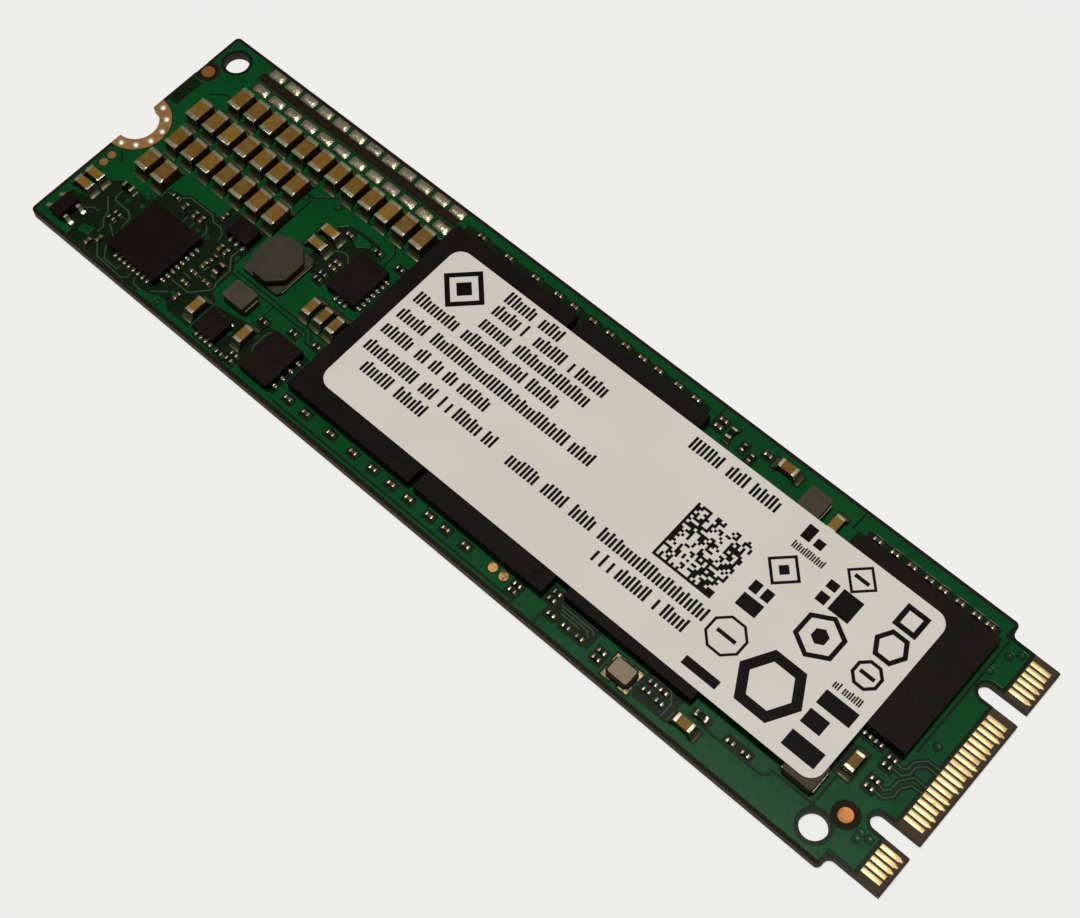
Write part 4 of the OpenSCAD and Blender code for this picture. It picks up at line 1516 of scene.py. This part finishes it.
@dataclass
class Label:
    """The label, with rows of strokes in place of words and plain shapes in place of marks.

    Attributes:
        ink: The thickness of the print, in millimetres.
        full: The height of the tall strokes of a usual row.
        small: The same of a small row.
        low: How high a short stroke is beside a tall one.
        stroke: The width of one upright stroke.
        pitch: The spacing of the strokes.
        pair: How much of that spacing lies inside a pair of strokes.
        space: The space after a word, in spacings.
        kept: The share of the pairs that have their second stroke.
        rows: The usual rows' left end, middle height and word lengths, in pairs of strokes.
        small_rows: The same of the small rows.
        square: The code square's left and lower edge and its side.
        cells: How many cells it has along a side.
        rings: The hollow polygons' centre, radius, corners, turn in degrees and band width.
        spots: The filled polygons' centre, radius, corners and turn.
        bars: The filled rectangles' lower left and upper right corner.
        seeds: The seeds of the strokes and of the cells.
    """

    ink: float = 0.006
    full: float = 1.08
    small: float = 0.6
    low: float = 0.82
    stroke: float = 0.22
    pitch: float = 0.35
    pair: float = 0.93
    space: float = 1.5
    kept: float = 0.9
    rows: tuple[tuple[float, float, tuple[int, ...]], ...] = (
        (-6.85, 6.75, (4, 3)), (-6.85, 5.4, (5, 4, 5)), (-6.8, 3.95, (4, 10)), (-11.9, 2.4, (6, 13)),
        (-11.9, 0.65, (4, 22)), (-11.9, -1, (4, 10)), (-11.9, -2.8, (7, 2, 8)), (-10.8, -4.3, (4, 4)),
        (10.9, 6.5, (4, 7)), (2.1, -3, (4, 3, 3, 14)), (11.4, -4.5, (7, 4)),
    )
    small_rows: tuple[tuple[float, float, tuple[int, ...]], ...] = ((21, 5.1, (7,)), (29.3, -1.05, (6,)))
    square: tuple[float, float, float] = (14.25, -1.9, 5.1)
    cells: int = 24
    rings: tuple[tuple[float, ...], ...] = (
        (-9.7, 5.1, 2.05, 4, 0, 0.4), (21.8, 3.1, 1.45, 4, 0, 0.22), (26.2, 6, 1.3, 4, 0, 0.2),
        (30.5, 5.8, 1.35, 4, 45, 0.4), (30.6, 3.4, 1.35, 6, 0, 0.35), (26.6, 0.9, 1.85, 6, 30, 0.35),
        (30.6, 0.8, 1.15, 8, 22.5, 0.25), (21.9, -3.2, 1.55, 8, 22.5, 0.2), (26.3, -4, 2.6, 6, 0, 0.75),
    )
    spots: tuple[tuple[float, ...], ...] = (
        (-9.7, 5.1, 0.8, 4, 0), (21.8, 3.1, 0.5, 4, 0), (26.6, 0.9, 0.65, 6, 30),
    )
    bars: tuple[tuple[float, ...], ...] = (
        (25.6, 5.85, 26.8, 6.15), (21, 5.8, 21.8, 7), (22.1, 5.8, 22.8, 6.5), (24.6, 4, 25.4, 4.7),
        (25.7, 2.8, 27.4, 4.7), (24.6, 2.8, 25.4, 3.6), (20.8, 0.4, 21.5, 1.3), (21.8, 0.4, 22.5, 1.3),
        (20.8, -1, 22.5, 0.1), (30, 0.65, 31.2, 0.95), (21.1, -3.35, 22.7, -3.05),
        (20.8, -6.65, 23.7, -5.95), (29.2, -2.9, 31.9, -1.7), (29.2, -4.6, 30.8, -3.4),
        (29.2, -6.6, 31.9, -5.3),
    )
    seeds: tuple[int, int] = (3, 21)

    def build(self) -> None:
        """Makes the sheet and its print."""
        Rounded("label", LABEL_STOCK, 0.012).build()
        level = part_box("label")[1].z / MM
        filled = self.strokes() + [disc(*spot) for spot in self.spots]
        filled += [rectangle(*bar) for bar in self.bars]
        shapes = [flat_shape(outline, level) for outline in filled]
        shapes += [self.hollow(disc(*ring), band, level) for *ring, band in self.rings]
        shapes.append(self.code_square(level))
        hand_over(thicken(joined(shapes, "label_print"), self.ink), INK)

    def strokes(self) -> list[Outline]:
        """The upright strokes that stand in for words.

        Returns:
            One outline for each stroke.
        """
        dice = random.Random(self.seeds[0])
        sized = [(self.full, *row) for row in self.rows] + [(self.small, *row) for row in self.small_rows]
        made = []
        for height, x, middle, words in sized:
            scale = height / self.full
            foot = middle - height / 2
            for word in words:
                for _ in range(word):
                    tall = dice.random() < 0.5
                    for k in range(2):
                        top = foot + height * (1 if tall else self.low)
                        if dice.random() < self.kept or k == 0:
                            x0 = x + k * self.pitch * scale * self.pair
                            made.append(rectangle(x0, foot, x0 + self.stroke * scale, top))
                        tall = dice.random() < 0.5
                    x += 2 * self.pitch * scale
                x += self.space * self.pitch * scale
        return made

    def code_square(self, level: float) -> bpy.types.Object:
        """Makes a square of scattered cells that spells nothing.

        Args:
            level: The height of the label's face.

        Returns:
            The square.
        """
        left, low, side = self.square
        middle = Vector((left + side / 2, low + side / 2, level)) * MM
        bpy.ops.mesh.primitive_grid_add(x_subdivisions=self.cells, y_subdivisions=self.cells,
                                        size=side * MM, location=middle)
        piece = settle(bpy.context.object)
        dice = random.Random(self.seeds[1])
        off = [dice.random() < 0.5 for _ in piece.data.polygons]
        for i in range(self.cells):
            off[i] = False
            off[i * self.cells] = False
        select_faces(piece, lambda face: off[face.index])
        in_edit_mode(piece, lambda: bpy.ops.mesh.delete(type="FACE"))
        return piece

    def hollow(self, outline: Outline, band: float, level: float) -> bpy.types.Object:
        """Makes a hollow polygon.

        Args:
            outline: Its outer corners.
            band: The width of its band.
            level: The height of the label's face.

        Returns:
            The shape.
        """
        piece = flat_shape(outline, level)
        select_faces(piece, lambda face: True)

        def work() -> None:
            """Takes the middle out."""
            bpy.ops.mesh.inset(thickness=band * MM, depth=0)
            bpy.ops.mesh.delete(type="FACE")

        in_edit_mode(piece, work)
        return piece


@dataclass
class Studio:
    """The camera, the floor, the lamp and the light of the room.

    Attributes:
        eye: The camera's place, in millimetres. The lengths after the sensor's are in metres.
        gaze: The direction that it looks in.
        roll: How far it is turned about that direction, in degrees.
        lens: Its focal length.
        sensor: The width of its sensor.
        sight: The nearest and the farthest distance that it sees.
        lamp_place: The lamp's place.
        lamp_size: The lamp's side.
        lamp_power: The lamp's power, in watts.
        room_colour: The colour of the light from all round.
        room_strength: The strength of that light.
        floor_side: The floor's side.
        floor_colour: The floor's colour.
        floor_rough: The floor's roughness.
        floor_glow: How much of the floor shows as plain white.
    """

    eye: tuple[float, float, float] = (43.600, -43.475, 117.117)
    gaze: tuple[float, float, float] = (-0.30914, 0.32514, -0.89371)
    roll: float = -1.857
    lens: float = 61.37
    sensor: float = 36
    sight: tuple[float, float] = (0.001, 10)
    lamp_place: tuple[float, float, float] = (-0.015, 0.02, 0.5)
    lamp_size: float = 0.07
    lamp_power: float = 2.05
    room_colour: tuple[float, float, float, float] = (1, 0.95, 0.86, 1)
    room_strength: float = 0.18
    floor_side: float = 4
    floor_colour: tuple[float, float, float, float] = (0.6, 0.59, 0.57, 1)
    floor_rough: float = 0.9
    floor_glow: float = 0.66

    def build(self) -> None:
        """Sets up the whole studio."""
        self.camera()
        self.floor()
        self.lamp()
        self.room()
        bpy.context.scene.view_settings.view_transform = "Standard"

    def camera(self) -> None:
        """Makes the camera."""
        data = bpy.data.cameras.new("camera")
        data.sensor_width = self.sensor
        data.lens = self.lens
        data.clip_start, data.clip_end = self.sight
        eye = bpy.data.objects.new("camera", data)
        eye.location = Vector(self.eye) * MM
        turn = Quaternion((0, 0, 1), math.radians(self.roll))
        eye.rotation_mode = "QUATERNION"
        eye.rotation_quaternion = Vector(self.gaze).to_track_quat("-Z", "Y") @ turn
        bpy.context.scene.collection.objects.link(eye)
        bpy.context.scene.camera = eye

    def lamp(self) -> None:
        """Makes a square lamp that points at the object."""
        data = bpy.data.lights.new("key_lamp", "AREA")
        data.size = self.lamp_size
        data.energy = self.lamp_power
        lamp = bpy.data.objects.new("key_lamp", data)
        lamp.location = self.lamp_place
        lamp.rotation_mode = "QUATERNION"
        lamp.rotation_quaternion = (-Vector(self.lamp_place)).to_track_quat("-Z", "Y")
        bpy.context.scene.collection.objects.link(lamp)

    def room(self) -> None:
        """Lights the object evenly from all round."""
        world = bpy.data.worlds.new("soft_room")
        world.use_nodes = True
        back = world.node_tree.nodes["Background"]
        back.inputs["Color"].default_value = self.room_colour
        back.inputs["Strength"].default_value = self.room_strength
        bpy.context.scene.world = world

    def floor(self) -> None:
        """Makes the pale floor, which keeps the object's shadow."""
        bpy.ops.mesh.primitive_plane_add(size=self.floor_side)
        plane = bpy.context.object
        plane.name = "floor"
        g = Graph("pale_floor")
        g.surface(Base_Color=self.floor_colour, Roughness=self.floor_rough, Specular_IOR_Level=0.1)
        path = g.node("ShaderNodeLightPath")
        seen = Sock(g, path.outputs["Is Camera Ray"]) + Sock(g, path.outputs["Is Glossy Ray"])
        glow = g.node("ShaderNodeEmission", {}, {"Color": (1, 1, 1, 1), "Strength": 1.0})
        share = (seen * self.floor_glow).held()
        both = g.node("ShaderNodeMixShader", {}, {0: share, 1: g.shader.outputs[0], 2: glow.outputs[0]})
        g.feed(g.output.inputs["Surface"], both.outputs[0])
        plane.data.materials.append(g.material)


def main() -> None:
    """Builds the studio and every sub-assembly."""
    logging.basicConfig(level=logging.INFO, format="%(name)s %(message)s")
    bpy.context.tool_settings.mesh_select_mode = (False, False, True)
    Studio().build()
    for assembly in (CircuitBoard(), BareMetal(), MemoryPackages(), LeadlessChips(), ChipRows(),
                     PowerParts(), Label()):
        assembly.build()
        log.info("%s is done", type(assembly).__name__)


if __name__ == "__main__":
    main()
